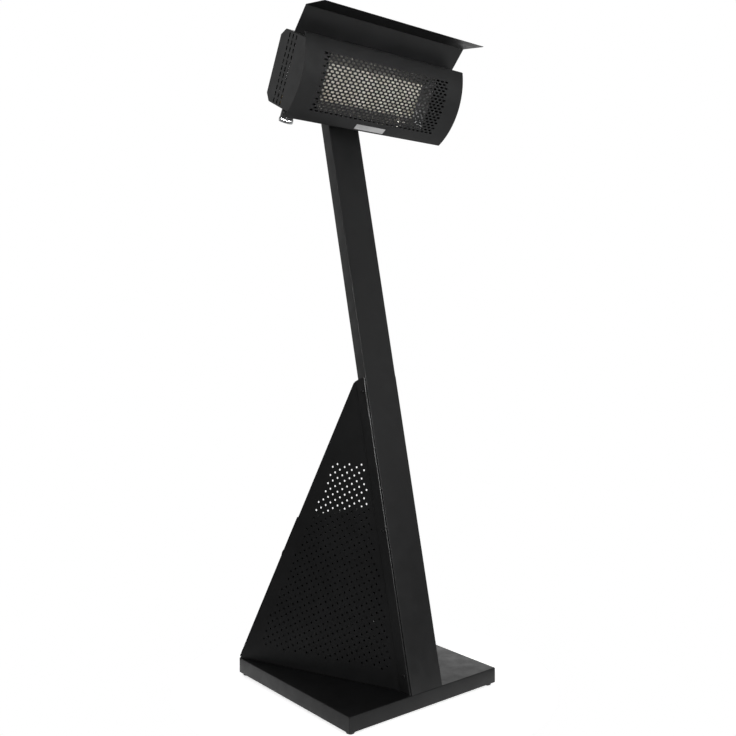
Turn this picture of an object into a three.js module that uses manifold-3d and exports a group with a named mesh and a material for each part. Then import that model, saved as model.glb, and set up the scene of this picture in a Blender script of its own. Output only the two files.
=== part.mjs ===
// Directional gas patio heater: an oblong radiant head on a flat post that leans back over a
// square base, with a splayed triangular bottle housing behind the post.
// Millimetres, +Z up, origin on the floor under the centre of the base, front of the heater at -Y.
import * as THREE from "three";
import { mergeVertices } from "three/addons/utils/BufferGeometryUtils.js";
import Module from "manifold-3d";

const wasm = await Module();
wasm.setup();

// ---------------------------------------------------------------- driving dimensions
const GAP = 0.3; // clearance between pieces that touch

const BASE = 600; // side of the square base
const BASE_H = 48.4; // height of its skirt
const FOOT_H = 8; // glides under it
const BASE_T = 3; // sheet
const BASE_TOP = FOOT_H + BASE_H;
const FOOT_R = 13;
const FOOT_IN = 19; // foot centre in from each edge

const POST_W = 124;
const POST_D = 40;
const POST_R = 1.5;
const POST_T = 2.5;
const POST_LEN = 1985; // along its own axis
const LEAN = Math.atan(0.23426); // from the vertical, towards the rear

const PANEL_T = 2;
const PANEL_STRIP = 3.7; // post side left bare in front of the panel's flange
const PANEL_TOP = 972; // top of the flange at the front, along the post
const FLANGE_OUT = 66.8; // outer face of the flange from the post's middle
const HEM = 32; // the flange is folded double back to here
const REAR_X = 299.5; // lower rear corners of the side panels
const REAR_Y = 299.5;
const HOLE_PITCH = 19.57; // perforation of the side panels, a square grid turned 30 degrees
const HOLE_TURN = 150.5;
const HOLE_O = [310.8, 596.5]; // one hole, back from the bend and up the panel
const HOLE_D = 7.4;
const SCREW_Z = [957.3, 532, 108];
const SCREW_D = 20; // behind the post's front face

const DOOR_TOP_Z = 541;
const DOOR_T = 2.1;
const DOOR_SKIN = 1.5;
const HINGE_W = [95, 400]; // hinge starts, up the door
const HINGE_L = 50;
const HINGE_R = 4.5;
const HINGE_OUT = 5.5; // hinge axis outside the panel's rear edge

const HEAD_POS = [0, -65.3, 1898.1]; // middle of the chord across the cover's edges
const HEAD_TILT = 27.27; // degrees down from the horizontal
const HEAD_HALF = 319.4;
const COVER_R = 223;
const COVER_SAG = 37; // how far the cover stands out of the chord
const COVER_A = 34.2; // half of its arc, degrees
const COVER_T = 1.5;
const SLOT_L = 13;
const SLOT_W = 6.2;
const SLOT_PX = 18.8; // staggered slots in the cover, along the head
const SLOT_PS = 9.67; // row to row
const SHEET = 1.5;
const CASE_TOP = 110;
const CASE_BOTTOM = -105;
const CASE_REAR = 126;
const CASE_CHAMFER = 20;
const CAP_SLOT = [6.5, 14.5];
const CAP_SLOT_Y = [40, 59, 78];
const CAP_SLOT_Z0 = 99;
const CAP_SLOT_PITCH = 19.3;
const CAP_SLOTS = 11;

const TILE = [92.5, 13, 130];
const TILE_PITCH = 94;
const TILE_Y = 25.2;

const PIVOT = [170, -30]; // tilt axis in the head's own frame: back from the chord, and along it
const KNOB = [-290, 30]; // gas knob's axis in the head's own frame

// ---------------------------------------------------------------- helpers
const V = (x, y, z) => new THREE.Vector3(x, y, z);
const X = V(1, 0, 0);
const Y = V(0, 1, 0);
const Z = V(0, 0, 1);
const rad = (d) => (d * Math.PI) / 180;

function solid(geometry, flip = false) {
  const g = geometry.index ? geometry.toNonIndexed() : geometry.clone();
  for (const k of Object.keys(g.attributes))
    if (k !== "position") g.deleteAttribute(k);
  const m = mergeVertices(g, 1e-4);
  const src = m.index.array;
  const tri = [];
  for (let i = 0; i < src.length; i += 3) {
    const [a, b, c] = [src[i], src[i + 1], src[i + 2]];
    if (a === b || b === c || a === c) continue;
    if (flip) tri.push(a, c, b);
    else tri.push(a, b, c);
  }
  return new wasm.Manifold(
    new wasm.Mesh({
      numProp: 3,
      vertProperties: new Float32Array(m.attributes.position.array),
      triVerts: new Uint32Array(tri),
    }),
  );
}

function geometryOf(s) {
  const m = s.getMesh();
  const n = m.numProp;
  const v = new Float32Array(m.numVert * 3);
  for (let i = 0; i < m.numVert; i++)
    v.set(m.vertProperties.subarray(i * n, i * n + 3), i * 3);
  const g = new THREE.BufferGeometry();
  g.setAttribute("position", new THREE.BufferAttribute(v, 3));
  g.setIndex(new THREE.BufferAttribute(new Uint32Array(m.triVerts), 1));
  g.computeVertexNormals();
  return g;
}

const join = (...s) => s.reduce((a, b) => a.add(b));
const cut = (a, ...s) => s.reduce((r, b) => r.subtract(b), a);

// Outline pts in the plane (ex, ey) at origin, extruded by depth along ez.
function prism(pts, depth, origin, ex, ey, ez, holes = []) {
  const shape = new THREE.Shape(pts.map((p) => new THREE.Vector2(p[0], p[1])));
  for (const h of holes)
    shape.holes.push(
      new THREE.Path(h.map((p) => new THREE.Vector2(p[0], p[1]))),
    );
  const g = new THREE.ExtrudeGeometry(shape, { depth, bevelEnabled: false });
  const m = new THREE.Matrix4().makeBasis(ex, ey, ez).setPosition(origin);
  g.applyMatrix4(m);
  return solid(g, m.determinant() < 0);
}

// Section in (Y, Z), extruded along X from x0 to x1.
const alongX = (pts, x0, x1, holes) =>
  prism(pts, x1 - x0, V(x0, 0, 0), Y, Z, X, holes);

function box(x0, x1, y0, y1, z0, z1) {
  const g = new THREE.BoxGeometry(x1 - x0, y1 - y0, z1 - z0);
  g.translate((x0 + x1) / 2, (y0 + y1) / 2, (z0 + z1) / 2);
  return solid(g);
}

function rod(a, b, r, seg = 20, r2 = r) {
  const d = b.clone().sub(a);
  const g = new THREE.CylinderGeometry(r2, r, d.length(), seg);
  g.translate(0, d.length() / 2, 0);
  g.applyQuaternion(
    new THREE.Quaternion().setFromUnitVectors(Y, d.clone().normalize()),
  );
  g.translate(a.x, a.y, a.z);
  return solid(g);
}

const circle = (cx, cy, r, n, turn = 0) =>
  Array.from({ length: n }, (_, i) => {
    const a = turn + (2 * Math.PI * i) / n;
    return [cx + r * Math.cos(a), cy + r * Math.sin(a)];
  });

const rect = (x0, x1, y0, y1) => [
  [x0, y0],
  [x1, y0],
  [x1, y1],
  [x0, y1],
];

function roundRect(x0, x1, y0, y1, r, n = 4) {
  const out = [];
  for (const [cx, cy, a0] of [
    [x1 - r, y0 + r, -90],
    [x1 - r, y1 - r, 0],
    [x0 + r, y1 - r, 90],
    [x0 + r, y0 + r, 180],
  ])
    for (let i = 0; i <= n; i++) {
      const a = rad(a0 + (90 * i) / n);
      out.push([cx + r * Math.cos(a), cy + r * Math.sin(a)]);
    }
  return out;
}

// A folded sheet: the polyline is its outer face, and the sheet lies to the left of it.
function sheet(path, t) {
  const inner = path.map((p, i) => {
    const a = path[i - 1];
    const b = path[i + 1];
    const n = [];
    for (const [q, r] of [
      [a, p],
      [p, b],
    ])
      if (q && r) {
        const l = Math.hypot(r[0] - q[0], r[1] - q[1]);
        n.push([-(r[1] - q[1]) / l, (r[0] - q[0]) / l]);
      }
    if (n.length === 1) return [p[0] + n[0][0] * t, p[1] + n[0][1] * t];
    const s = [n[0][0] + n[1][0], n[0][1] + n[1][1]];
    const k = (2 * t) / (s[0] * s[0] + s[1] * s[1]);
    return [p[0] + s[0] * k, p[1] + s[1] * k];
  });
  return [...path, ...inner.reverse()];
}

// Round bar or tube wire along a path with rounded corners.
function bent(points, r, bend, seg = 10, steps = 28) {
  const curve = new THREE.CurvePath();
  let from = points[0];
  for (let i = 1; i < points.length; i++) {
    const p = points[i];
    if (i === points.length - 1) {
      curve.add(new THREE.LineCurve3(from, p));
      break;
    }
    const before = p.clone().add(
      from
        .clone()
        .sub(p)
        .setLength(Math.min(bend, from.distanceTo(p) * 0.48)),
    );
    const after = p.clone().add(
      points[i + 1]
        .clone()
        .sub(p)
        .setLength(Math.min(bend, points[i + 1].distanceTo(p) * 0.48)),
    );
    curve.add(new THREE.LineCurve3(from, before));
    curve.add(new THREE.QuadraticBezierCurve3(before, p, after));
    from = after;
  }
  const shape = new THREE.Shape(
    circle(0, 0, r, seg).map((p) => new THREE.Vector2(p[0], p[1])),
  );
  return solid(
    new THREE.ExtrudeGeometry(shape, {
      steps,
      bevelEnabled: false,
      extrudePath: curve,
    }),
  );
}

// Revolved about an axis through centre along dir: profile is [radius, height] pairs.
function turned(profile, centre, dir, seg = 28) {
  const g = new THREE.LatheGeometry(
    profile.map((p) => new THREE.Vector2(p[0], p[1])),
    seg,
  );
  g.applyQuaternion(new THREE.Quaternion().setFromUnitVectors(Y, dir));
  g.translate(centre.x, centre.y, centre.z);
  let s = solid(g);
  if (s.volume() < 0) s = solid(g, true);
  return s;
}

// Six-faced block from its low and high quads, each given in the same turn.
function block(lo, hi) {
  const p = [...lo, ...hi];
  const f = [
    [0, 3, 2, 1],
    [4, 5, 6, 7],
    [0, 1, 5, 4],
    [1, 2, 6, 5],
    [2, 3, 7, 6],
    [3, 0, 4, 7],
  ];
  const pos = [];
  for (const [a, b, c, d] of f)
    for (const i of [a, b, c, a, c, d]) pos.push(...p[i]);
  const g = new THREE.BufferGeometry();
  g.setAttribute(
    "position",
    new THREE.BufferAttribute(new Float32Array(pos), 3),
  );
  const s = solid(g);
  return s.volume() < 0 ? solid(g, true) : s;
}

// ---------------------------------------------------------------- finishes
const paint = (color, roughness, metalness = 0.25) =>
  new THREE.MeshStandardMaterial({ color, roughness, metalness });
const powder = paint(0x1b1c1d, 0.62);
const powderHead = paint(0x26272a, 0.55);
const galvanised = paint(0x9a9da0, 0.45, 0.9);
const stainless = paint(0xc4c6c8, 0.3, 0.95);
const chrome = paint(0xd8dadc, 0.12, 1);
const brass = paint(0xb08d4a, 0.32, 0.95);
const steelBlack = paint(0x141414, 0.45, 0.6);
const plastic = paint(0x161616, 0.5, 0);
const rubber = paint(0x0d0d0d, 0.85, 0);
const ceramic = paint(0xd9d2c0, 0.9, 0);
const aluminium = paint(0xb9bcbf, 0.4, 0.9);

const part = new THREE.Group();
const head = new THREE.Group();
head.position.set(...HEAD_POS);
head.rotation.x = rad(HEAD_TILT);
part.add(head);

function piece(name, s, material, group = part) {
  const mesh = new THREE.Mesh(geometryOf(s), material);
  mesh.name = name;
  group.add(mesh);
  return mesh;
}

// ---------------------------------------------------------------- base
const H = BASE / 2;
let tray = cut(
  box(-H, H, -H, H, FOOT_H, BASE_TOP),
  box(
    -H + BASE_T,
    H - BASE_T,
    -H + BASE_T,
    H - BASE_T,
    FOOT_H + 2,
    BASE_TOP - BASE_T,
  ),
  box(-H + 34, H - 34, -H + 34, H - 34, FOOT_H - 1, FOOT_H + 3),
);
tray = join(tray, box(-268, 268, 291, 293, BASE_TOP - 1, BASE_TOP + 12)); // sill inside the door
piece("base_tray", tray, powder);
piece(
  "ballast_plate",
  box(-230, 230, -230, 230, BASE_TOP - BASE_T - GAP - 14, BASE_TOP - BASE_T - GAP),
  steelBlack,
);
for (const [name, sx, sy] of [
  ["foot_front_left", -1, -1],
  ["foot_front_right", 1, -1],
  ["foot_rear_left", -1, 1],
  ["foot_rear_right", 1, 1],
])
  piece(
    name,
    turned(
      [
        [0, 0],
        [FOOT_R - 3, 0],
        [FOOT_R - 0.8, 0.9],
        [FOOT_R, 3],
        [FOOT_R, FOOT_H - GAP],
        [0, FOOT_H - GAP],
      ],
      V(sx * (H - FOOT_IN), sy * (H - FOOT_IN), 0),
      Z,
      14,
    ),
    rubber,
  );

// ---------------------------------------------------------------- post
// Post frame: x across, d behind the front face, a up the axis.
const SB = Math.sin(LEAN);
const CB = Math.cos(LEAN);
const ED = V(0, CB, -SB);
const EA = V(0, SB, CB);
const P0 = V(0, -H, BASE_TOP);
const post = (x, d, a) =>
  P0.clone().addScaledVector(X, x).addScaledVector(ED, d).addScaledVector(EA, a);
const postBox = (x0, x1, d0, d1, a0, a1) =>
  prism(rect(x0, x1, d0, d1), a1 - a0, post(0, 0, a0), X, ED, EA);
const belowBase = box(-700, 700, -900, 900, -300, BASE_TOP + GAP);
const upPost = (z, d) => (z - BASE_TOP + d * SB) / CB;

// Tilt axis in the part's frame and in the post's frame.
const cosT = Math.cos(rad(HEAD_TILT));
const sinT = Math.sin(rad(HEAD_TILT));
const headToPart = (x, y, z) =>
  V(x, HEAD_POS[1] + y * cosT - z * sinT, HEAD_POS[2] + y * sinT + z * cosT);
const pivot = headToPart(0, PIVOT[0], PIVOT[1]);
const toPivot = pivot.clone().sub(P0);
const pivotD = toPivot.dot(ED);
const pivotA = toPivot.dot(EA);

const INLET_A = upPost(800, 40);
const BOLT_A = [pivotA - 34, pivotA + 32];
let tube = prism(
  roundRect(-POST_W / 2, POST_W / 2, 0, POST_D, POST_R),
  POST_LEN + 20,
  post(0, 0, -20),
  X,
  ED,
  EA,
  [
    roundRect(
      -POST_W / 2 + POST_T,
      POST_W / 2 - POST_T,
      POST_T,
      POST_D - POST_T,
      1.5,
      2,
    ),
  ],
);
tube = cut(
  tube,
  belowBase,
  rod(post(0, -5, pivotA), post(0, 8, pivotA), 7.5, 16),
  rod(post(0, 34, INLET_A), post(0, 46, INLET_A), 7.4, 16),
  ...BOLT_A.map((a) => rod(post(0, -5, a), post(0, 8, a), 4.5, 12)),
  ...[-1, 1].flatMap((s) =>
    SCREW_Z.map((z) => {
      const a = upPost(z, SCREW_D);
      return rod(
        post(s * 55, SCREW_D, a),
        post(s * 66, SCREW_D, a),
        3.5,
        12,
      );
    }),
  ),
);
piece("post_tube", tube, powder);
piece(
  "post_spigot",
  cut(postBox(-54, 54, 4, 36, -20, 150), belowBase),
  steelBlack,
);
piece(
  "post_top_cap",
  join(
    prism(
      roundRect(-POST_W / 2, POST_W / 2, 0, POST_D, POST_R),
      3,
      post(0, 0, POST_LEN + GAP),
      X,
      ED,
      EA,
    ),
    postBox(-57, 57, 5, 35, POST_LEN - 12, POST_LEN + 1),
  ),
  plastic,
);

// Forked bracket on the post's front face. Its two arms carry the tilt axis.
const ARM_IN = POST_W / 2 - 4.4;
const ARM_OUT = POST_W / 2 + 0.6;
const armOutline = [
  [-GAP, pivotA - 46],
  [-GAP, pivotA + 44],
  [-12, pivotA + 44],
  ...Array.from({ length: 9 }, (_, i) => {
    const a = rad(70 + (220 * i) / 8);
    return [pivotD + 18 * Math.cos(a), pivotA + 18 * Math.sin(a)];
  }),
  [-12, pivotA - 46],
];
const arm = (x0) =>
  prism(armOutline, ARM_OUT - ARM_IN, post(x0, 0, 0), ED, EA, X);
piece(
  "post_bracket",
  cut(
    join(
      postBox(-ARM_OUT, ARM_OUT, -GAP - 5, -GAP, pivotA - 46, pivotA + 44),
      arm(ARM_IN),
      arm(-ARM_OUT),
    ),
    rod(post(-80, pivotD, pivotA), post(80, pivotD, pivotA), 4.4, 24),
    rod(post(0, -8, pivotA), post(0, 4, pivotA), 7.5, 16),
    ...BOLT_A.map((a) => rod(post(0, -8, a), post(0, 4, a), 4.5, 12)),
  ),
  powder,
);
BOLT_A.forEach((a, i) =>
  piece(
    i ? "bracket_bolt_upper" : "bracket_bolt_lower",
    join(
      rod(post(0, -GAP - 5 - GAP - 5, a), post(0, -GAP - 5 - GAP, a), 7.5, 6),
      rod(post(0, -GAP - 5 - GAP - 1, a), post(0, 14, a), 4, 12),
    ),
    stainless,
  ),
);

// Gas line inside the post.
piece(
  "gas_pipe",
  cut(
    rod(post(0, 20, INLET_A + 12 + GAP), post(0, 20, pivotA - 14 - GAP), 6, 14),
    rod(post(0, 20, INLET_A), post(0, 20, pivotA), 4.5, 10),
  ),
  galvanised,
);
piece(
  "inlet_fitting",
  join(
    rod(post(0, 20, INLET_A - 10), post(0, 20, INLET_A + 12), 9, 14),
    rod(post(0, 20, INLET_A), post(0, 66, INLET_A), 6.6, 14),
    rod(post(0, POST_D + GAP, INLET_A), post(0, 50, INLET_A), 12, 6),
  ),
  brass,
);
piece(
  "swivel_body",
  join(
    rod(post(0, 20, pivotA - 14), post(0, 20, pivotA + 10), 9, 14),
    rod(post(0, 20, pivotA), post(0, pivotD, pivotA), 6, 14),
    rod(post(-9, pivotD, pivotA), post(9, pivotD, pivotA), 11, 20),
  ),
  brass,
);

// ---------------------------------------------------------------- bottle housing
// Built for the left side in the part's frame; the right one is its mirror image.
const FLANGE_X = -(POST_W / 2 + GAP);
const bend0 = post(FLANGE_X - PANEL_T, POST_D, 0);
const onBase = bend0
  .clone()
  .addScaledVector(EA, (BASE_TOP - bend0.z) / EA.z); // bend line at the base's top
const rearLow = V(-REAR_X, REAR_Y, BASE_TOP);
const h = rearLow.clone().sub(onBase);
const PANEL_LEN = h.length();
h.normalize();
const outward = EA.clone().cross(h).normalize(); // out of the left panel
const up = h.clone().cross(outward).normalize(); // up in its plane
if (up.z < 0) up.negate();
const inPanel = (p) => {
  const d = p.clone().sub(onBase);
  return [d.dot(h), d.dot(up)];
};
const bendAt = (v) => (v * EA.dot(h)) / EA.dot(up);
// The panel folds into its flange a little behind the post's rear face.
const FOLD_U = -(FLANGE_OUT + bend0.x) / h.x;
const fold = onBase.clone().addScaledVector(h, FOLD_U);
const foldD = fold.clone().sub(P0).dot(ED);
const foldTop = PANEL_TOP - 4.4;
const topBend = inPanel(
  fold.clone().addScaledVector(EA, foldTop - fold.clone().sub(P0).dot(EA)),
);
const REAR_SLOPE = 0.4175; // how fast the rear edge runs in towards the post
const rearAt = (v) => PANEL_LEN - REAR_SLOPE * v;
const TOP_V = 931.5;
const rearHigh = onBase
  .clone()
  .addScaledVector(h, rearAt(TOP_V))
  .addScaledVector(up, TOP_V);
const panelOutline = [
  [FOLD_U, GAP],
  [rearAt(GAP), GAP],
  [rearAt(TOP_V), TOP_V],
  topBend,
];

// Every third hole of the perforation in each direction.
function panelHoles(step, sides) {
  const out = [];
  const ca = Math.cos(rad(HOLE_TURN));
  const sa = Math.sin(rad(HOLE_TURN));
  const cosEdge = 1 / Math.hypot(1, REAR_SLOPE);
  const cosBend = 1 / Math.hypot(1, bendAt(1));
  for (let i = -60; i <= 60; i += step)
    for (let j = -60; j <= 60; j += step) {
      const u = HOLE_O[0] + HOLE_PITCH * (i * ca - j * sa);
      const v = HOLE_O[1] + HOLE_PITCH * (i * sa + j * ca);
      if (v < 55 || v > 676) continue;
      if ((rearAt(v) - u) * cosEdge < 46) continue;
      if ((u - bendAt(v)) * cosBend < 22) continue;
      out.push(circle(u, v, HOLE_D / 2, sides, 0.26));
    }
  return out;
}

// Plane of the rear opening: X across, w up the slope, nR out to the rear.
const edge = rearHigh.clone().sub(rearLow);
const W_UP = V(0, edge.y, edge.z).normalize();
const nR = V(0, W_UP.z, -W_UP.y);
const wOf = (z) => (z - BASE_TOP) / W_UP.z;
const halfAt = (w) => REAR_X + (edge.x > 0 ? -1 : 1) * (edge.x / V(0, edge.y, edge.z).length()) * w;
const R0 = V(0, REAR_Y, BASE_TOP);
const rear = (x, w, off) =>
  R0.clone().addScaledVector(X, x).addScaledVector(W_UP, w).addScaledVector(nR, off);
const rearPlate = (pts, off0, off1, holes) =>
  prism(pts, off1 - off0, rear(0, 0, off0), X, W_UP, nR, holes);

const FLANGE_W = 18;
const wTop = wOf(950);
let sidePanel = join(
  cut(
    prism(panelOutline, PANEL_T, onBase, h, up, outward.clone().negate()),
    ...panelHoles(3, 4).map((pts) =>
      prism(
        pts,
        PANEL_T + 6,
        onBase.clone().addScaledVector(outward, 3),
        h,
        up,
        outward.clone().negate(),
      ),
    ),
  ),
  cut(
    join(
      prism(
        [
          [PANEL_STRIP, -20],
          [foldD + 1.2, -20],
          [foldD + 1.2, foldTop - 0.3],
          [28, PANEL_TOP - 0.5],
          [PANEL_STRIP, PANEL_TOP],
        ],
        PANEL_T,
        post(-FLANGE_OUT, 0, 0),
        ED,
        EA,
        X,
      ),
      prism(
        rect(PANEL_STRIP, HEM, -20, PANEL_TOP - 2),
        FLANGE_OUT + FLANGE_X - PANEL_T + 0.05,
        post(-FLANGE_OUT + PANEL_T - 0.05, 0, 0),
        ED,
        EA,
        X,
      ),
    ),
    belowBase,
  ),
  rearPlate(
    [
      [-halfAt(1) + 0.6, 1],
      [-halfAt(1) + FLANGE_W, 1],
      [-halfAt(wTop) + FLANGE_W, wTop],
      [-halfAt(wTop) + 0.6, wTop],
    ],
    -PANEL_T,
    -0.05,
  ),
  prism(
    [
      [fold.x + 0.9, fold.y + 0.6],
      [rearLow.x + 1.2, rearLow.y - 1.2],
      [rearLow.x + 24, rearLow.y - 3],
      [onBase.x + 19, onBase.y + 8],
    ],
    PANEL_T,
    V(0, 0, BASE_TOP + GAP),
    X,
    Y,
    Z,
  ),
);
sidePanel = cut(
  sidePanel,
  rearPlate(rect(-400, 400, -60, 1200), 0, 20),
  ...SCREW_Z.map((z) => {
    const a = upPost(z, SCREW_D);
    return rod(post(-80, SCREW_D, a), post(-58, SCREW_D, a), 3.5, 12);
  }),
);
piece("side_panel_left", sidePanel, powder);
piece("side_panel_right", sidePanel, powder).scale.x = -1;

["top", "middle", "bottom"].forEach((where, i) => {
  const a = upPost(SCREW_Z[i], SCREW_D);
  const x = -FLANGE_OUT - GAP;
  const screw = join(
    turned(
      [
        [0, 0],
        [7, 0],
        [7, 0.8],
        [5.6, 2.7],
        [3, 3.6],
        [0, 3.8],
      ],
      post(x, SCREW_D, a),
      V(-1, 0, 0),
      12,
    ),
    rod(post(x - 1, SCREW_D, a), post(-57, SCREW_D, a), 3, 8),
  );
  piece("panel_screw_left_" + where, screw, steelBlack);
  piece("panel_screw_right_" + where, screw, steelBlack).scale.x = -1;
});

// Rear door: a flat sheet over the lower part of the rear opening, its top edge folded in.
const W0 = 6;
const W1 = wOf(DOOR_TOP_Z);
const doorEdge = (w, inset) => halfAt(w) + 0.3 - inset;
const doorOutline = (inset) => [
  [-doorEdge(W0 + inset, inset), W0 + inset],
  [doorEdge(W0 + inset, inset), W0 + inset],
  [doorEdge(W1 - inset, inset), W1 - inset],
  [-doorEdge(W1 - inset, inset), W1 - inset],
];
const axisDir = V(-edge.x, edge.y, edge.z).normalize(); // right rear edge, upwards
const outInRear = nR.clone().cross(axisDir).normalize(); // away from the door, in its plane
const hingeAt = (w, along = 0) =>
  rear(halfAt(w) + HINGE_OUT, w, 2.2).addScaledVector(axisDir, along);
const knuckle = (w, a0, a1, r, seg = 16) =>
  rod(hingeAt(w, a0), hingeAt(w, a1), r, seg);
const MAGNET_W = [110, 430];
const HANDLE = [-178, 262, 372]; // x, lower and upper ends
const doorVents = [];
for (const x of [-93, 93])
  for (const w of [108, 140]) doorVents.push(circle(x, w, 4, 10));
const foldHalf = halfAt(W1) - 24;
let door = join(
  rearPlate(doorOutline(0), DOOR_T - DOOR_SKIN, DOOR_T, doorVents),
  rearPlate(rect(-foldHalf, foldHalf, W1 - 1.9, W1 - 0.3), -12, DOOR_T - 0.5),
);
for (const w of HINGE_W)
  door = join(
    cut(door, knuckle(w, -1, HINGE_L + 1, HINGE_R + 0.5)),
    knuckle(w, 17, 33, HINGE_R),
    // short leaf from the knuckle to the door's skin
    prism(
      rect(-18, 1, 17.3, 32.7),
      DOOR_SKIN - 0.2,
      hingeAt(w).addScaledVector(nR, DOOR_T - DOOR_SKIN + 0.1 - 2.2),
      outInRear,
      axisDir,
      nR,
    ),
  );
for (const w of HINGE_W) door = cut(door, knuckle(w, -2, HINGE_L + 2, 2.9));
piece("rear_door", door, powder);

// Fixed half of each hinge: a leaf on the outside of the right panel, two knuckles and the pin.
const outRight = V(-outward.x, outward.y, outward.z);
const hRight = V(-h.x, h.y, h.z);
const inLeaf = hRight
  .clone()
  .addScaledVector(axisDir, -hRight.dot(axisDir))
  .normalize()
  .negate(); // forwards from the rear edge, square to the axis
HINGE_W.forEach((w, i) => {
  const c0 = hingeAt(w, 0);
  const foot = rear(halfAt(w), w, 0);
  foot.addScaledVector(axisDir, c0.clone().sub(foot).dot(axisDir));
  const leaf = prism(
    [
      [1, 0],
      [28, 0],
      [28, HINGE_L],
      [1, HINGE_L],
    ],
    1.6,
    foot.clone().addScaledVector(outRight, GAP),
    inLeaf,
    axisDir,
    outRight,
  );
  const web = (a0, a1) => {
    const q = [
      foot.clone().addScaledVector(inLeaf, 3).addScaledVector(outRight, GAP),
      foot.clone().addScaledVector(inLeaf, 3).addScaledVector(outRight, GAP + 1.6),
      c0.clone().addScaledVector(outRight, 2.2).addScaledVector(inLeaf, 0.5),
      c0.clone().addScaledVector(outRight, -0.6).addScaledVector(inLeaf, 1.6),
    ];
    const flat = (p, a) => {
      const along = p.clone().sub(foot).dot(axisDir);
      return p.clone().addScaledVector(axisDir, a - along).toArray();
    };
    return block(
      q.map((p) => flat(p, a0)),
      q.map((p) => flat(p, a1)),
    );
  };
  piece(
    i ? "door_hinge_upper" : "door_hinge_lower",
    join(
      leaf,
      web(0, 16),
      web(34, 50),
      knuckle(w, 0, 16.5, HINGE_R),
      knuckle(w, 33.5, 50, HINGE_R),
      knuckle(w, 1, 49, 2.5, 12),
    ),
    powder,
  );
});

piece(
  "door_handle",
  bent(
    [
      rear(HANDLE[0], HANDLE[1], DOOR_T + GAP),
      rear(HANDLE[0], HANDLE[1], DOOR_T + 36),
      rear(HANDLE[0], HANDLE[2], DOOR_T + 36),
      rear(HANDLE[0], HANDLE[2], DOOR_T + GAP),
    ],
    5,
    14,
    10,
    20,
  ),
  steelBlack,
);
MAGNET_W.forEach((w, i) =>
  piece(
    i ? "magnet_catch_upper" : "magnet_catch_lower",
    join(
      rearPlate(
        rect(-halfAt(w) + 12, -halfAt(w) + 34, w - 20, w + 20),
        -5,
        -PANEL_T - GAP,
      ),
      rearPlate(
        rect(-halfAt(w) + 24, -halfAt(w) + 34, w - 18, w + 18),
        -9,
        0.3,
      ),
    ),
    plastic,
  ),
);

// ---------------------------------------------------------------- head, in its own frame
// x along the head, y back from the chord across the cover's edges, z up along that chord.
const L1 = HEAD_HALF - 1.8;
let casing = alongX(
  [
    [1.2, 119],
    [2.7, 119],
    [2.7, CASE_TOP],
    [CASE_REAR - CASE_CHAMFER, CASE_TOP],
    [CASE_REAR, CASE_TOP - CASE_CHAMFER],
    [CASE_REAR, CASE_BOTTOM + CASE_CHAMFER],
    [CASE_REAR - CASE_CHAMFER, CASE_BOTTOM],
    [2.7, CASE_BOTTOM],
    [2.7, -119],
    [1.2, -119],
    [1.2, CASE_BOTTOM + SHEET],
    [CASE_REAR - CASE_CHAMFER - 0.62, CASE_BOTTOM + SHEET],
    [CASE_REAR - SHEET, CASE_BOTTOM + CASE_CHAMFER + 0.62],
    [CASE_REAR - SHEET, CASE_TOP - CASE_CHAMFER - 0.62],
    [CASE_REAR - CASE_CHAMFER - 0.62, CASE_TOP - SHEET],
    [1.2, CASE_TOP - SHEET],
  ],
  -L1,
  L1,
);
casing = cut(
  casing,
  rod(V(KNOB[0], KNOB[1], -110), V(KNOB[0], KNOB[1], -100), 12, 20),
  rod(V(-18, 118, PIVOT[1]), V(-18, 132, PIVOT[1]), 8, 16),
  // exhaust slots under the hood
  ...Array.from({ length: 13 }, (_, i) =>
    box(-270 + i * 45 - 15, -270 + i * 45 + 15, 18, 26, 100, 116),
  ),
);
piece("rear_casing", casing, powderHead, head);

// End caps: flat, with a turned-in rim and three columns of slots.
const arcY = (z, r) => COVER_R - COVER_SAG - Math.sqrt(r * r - z * z);
function capOutline(k, r) {
  // k: how far inside the casing's outer faces, r: radius of the curved front
  const zt = CASE_TOP - k;
  const zb = CASE_BOTTOM + k;
  const out = [];
  for (let i = 0; i <= 10; i++) {
    const z = zb + ((zt - zb) * i) / 10;
    out.push([arcY(z, r), z]);
  }
  out.push(
    [CASE_REAR - CASE_CHAMFER - k * 0.414, zt],
    [CASE_REAR - k, CASE_TOP - CASE_CHAMFER - k * 0.414],
    [CASE_REAR - k, CASE_BOTTOM + CASE_CHAMFER + k * 0.414],
    [CASE_REAR - CASE_CHAMFER - k * 0.414, zb],
  );
  return out;
}
const capSlots = [];
for (const y of CAP_SLOT_Y)
  for (let i = 0; i < CAP_SLOTS; i++) {
    const z = CAP_SLOT_Z0 - CAP_SLOT_PITCH * i;
    capSlots.push(
      box(
        HEAD_HALF - 3,
        HEAD_HALF + 1,
        y - CAP_SLOT[0] / 2,
        y + CAP_SLOT[0] / 2,
        z - CAP_SLOT[1] / 2,
        z + CAP_SLOT[1] / 2,
      ),
    );
  }
const inR = COVER_R - COVER_T - GAP;
const cap = join(
  cut(alongX(capOutline(0, inR), HEAD_HALF - 1.5, HEAD_HALF), ...capSlots),
  cut(
    alongX(capOutline(SHEET + GAP, inR), HEAD_HALF - 14, HEAD_HALF - 1),
    alongX(
      capOutline(SHEET + GAP + 1.2, inR - 1.2),
      HEAD_HALF - 20,
      HEAD_HALF + 1,
    ),
  ),
);
piece("end_cap_right", cap, powderHead, head);
piece("end_cap_left", cap, powderHead, head).scale.x = -1;
// Blind plate behind the right cap's slots, at the end away from the gas valve.
piece(
  "end_liner_right",
  alongX(capOutline(SHEET + GAP, inR), HEAD_HALF - 16, HEAD_HALF - 14.4),
  steelBlack,
  head,
);

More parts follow.
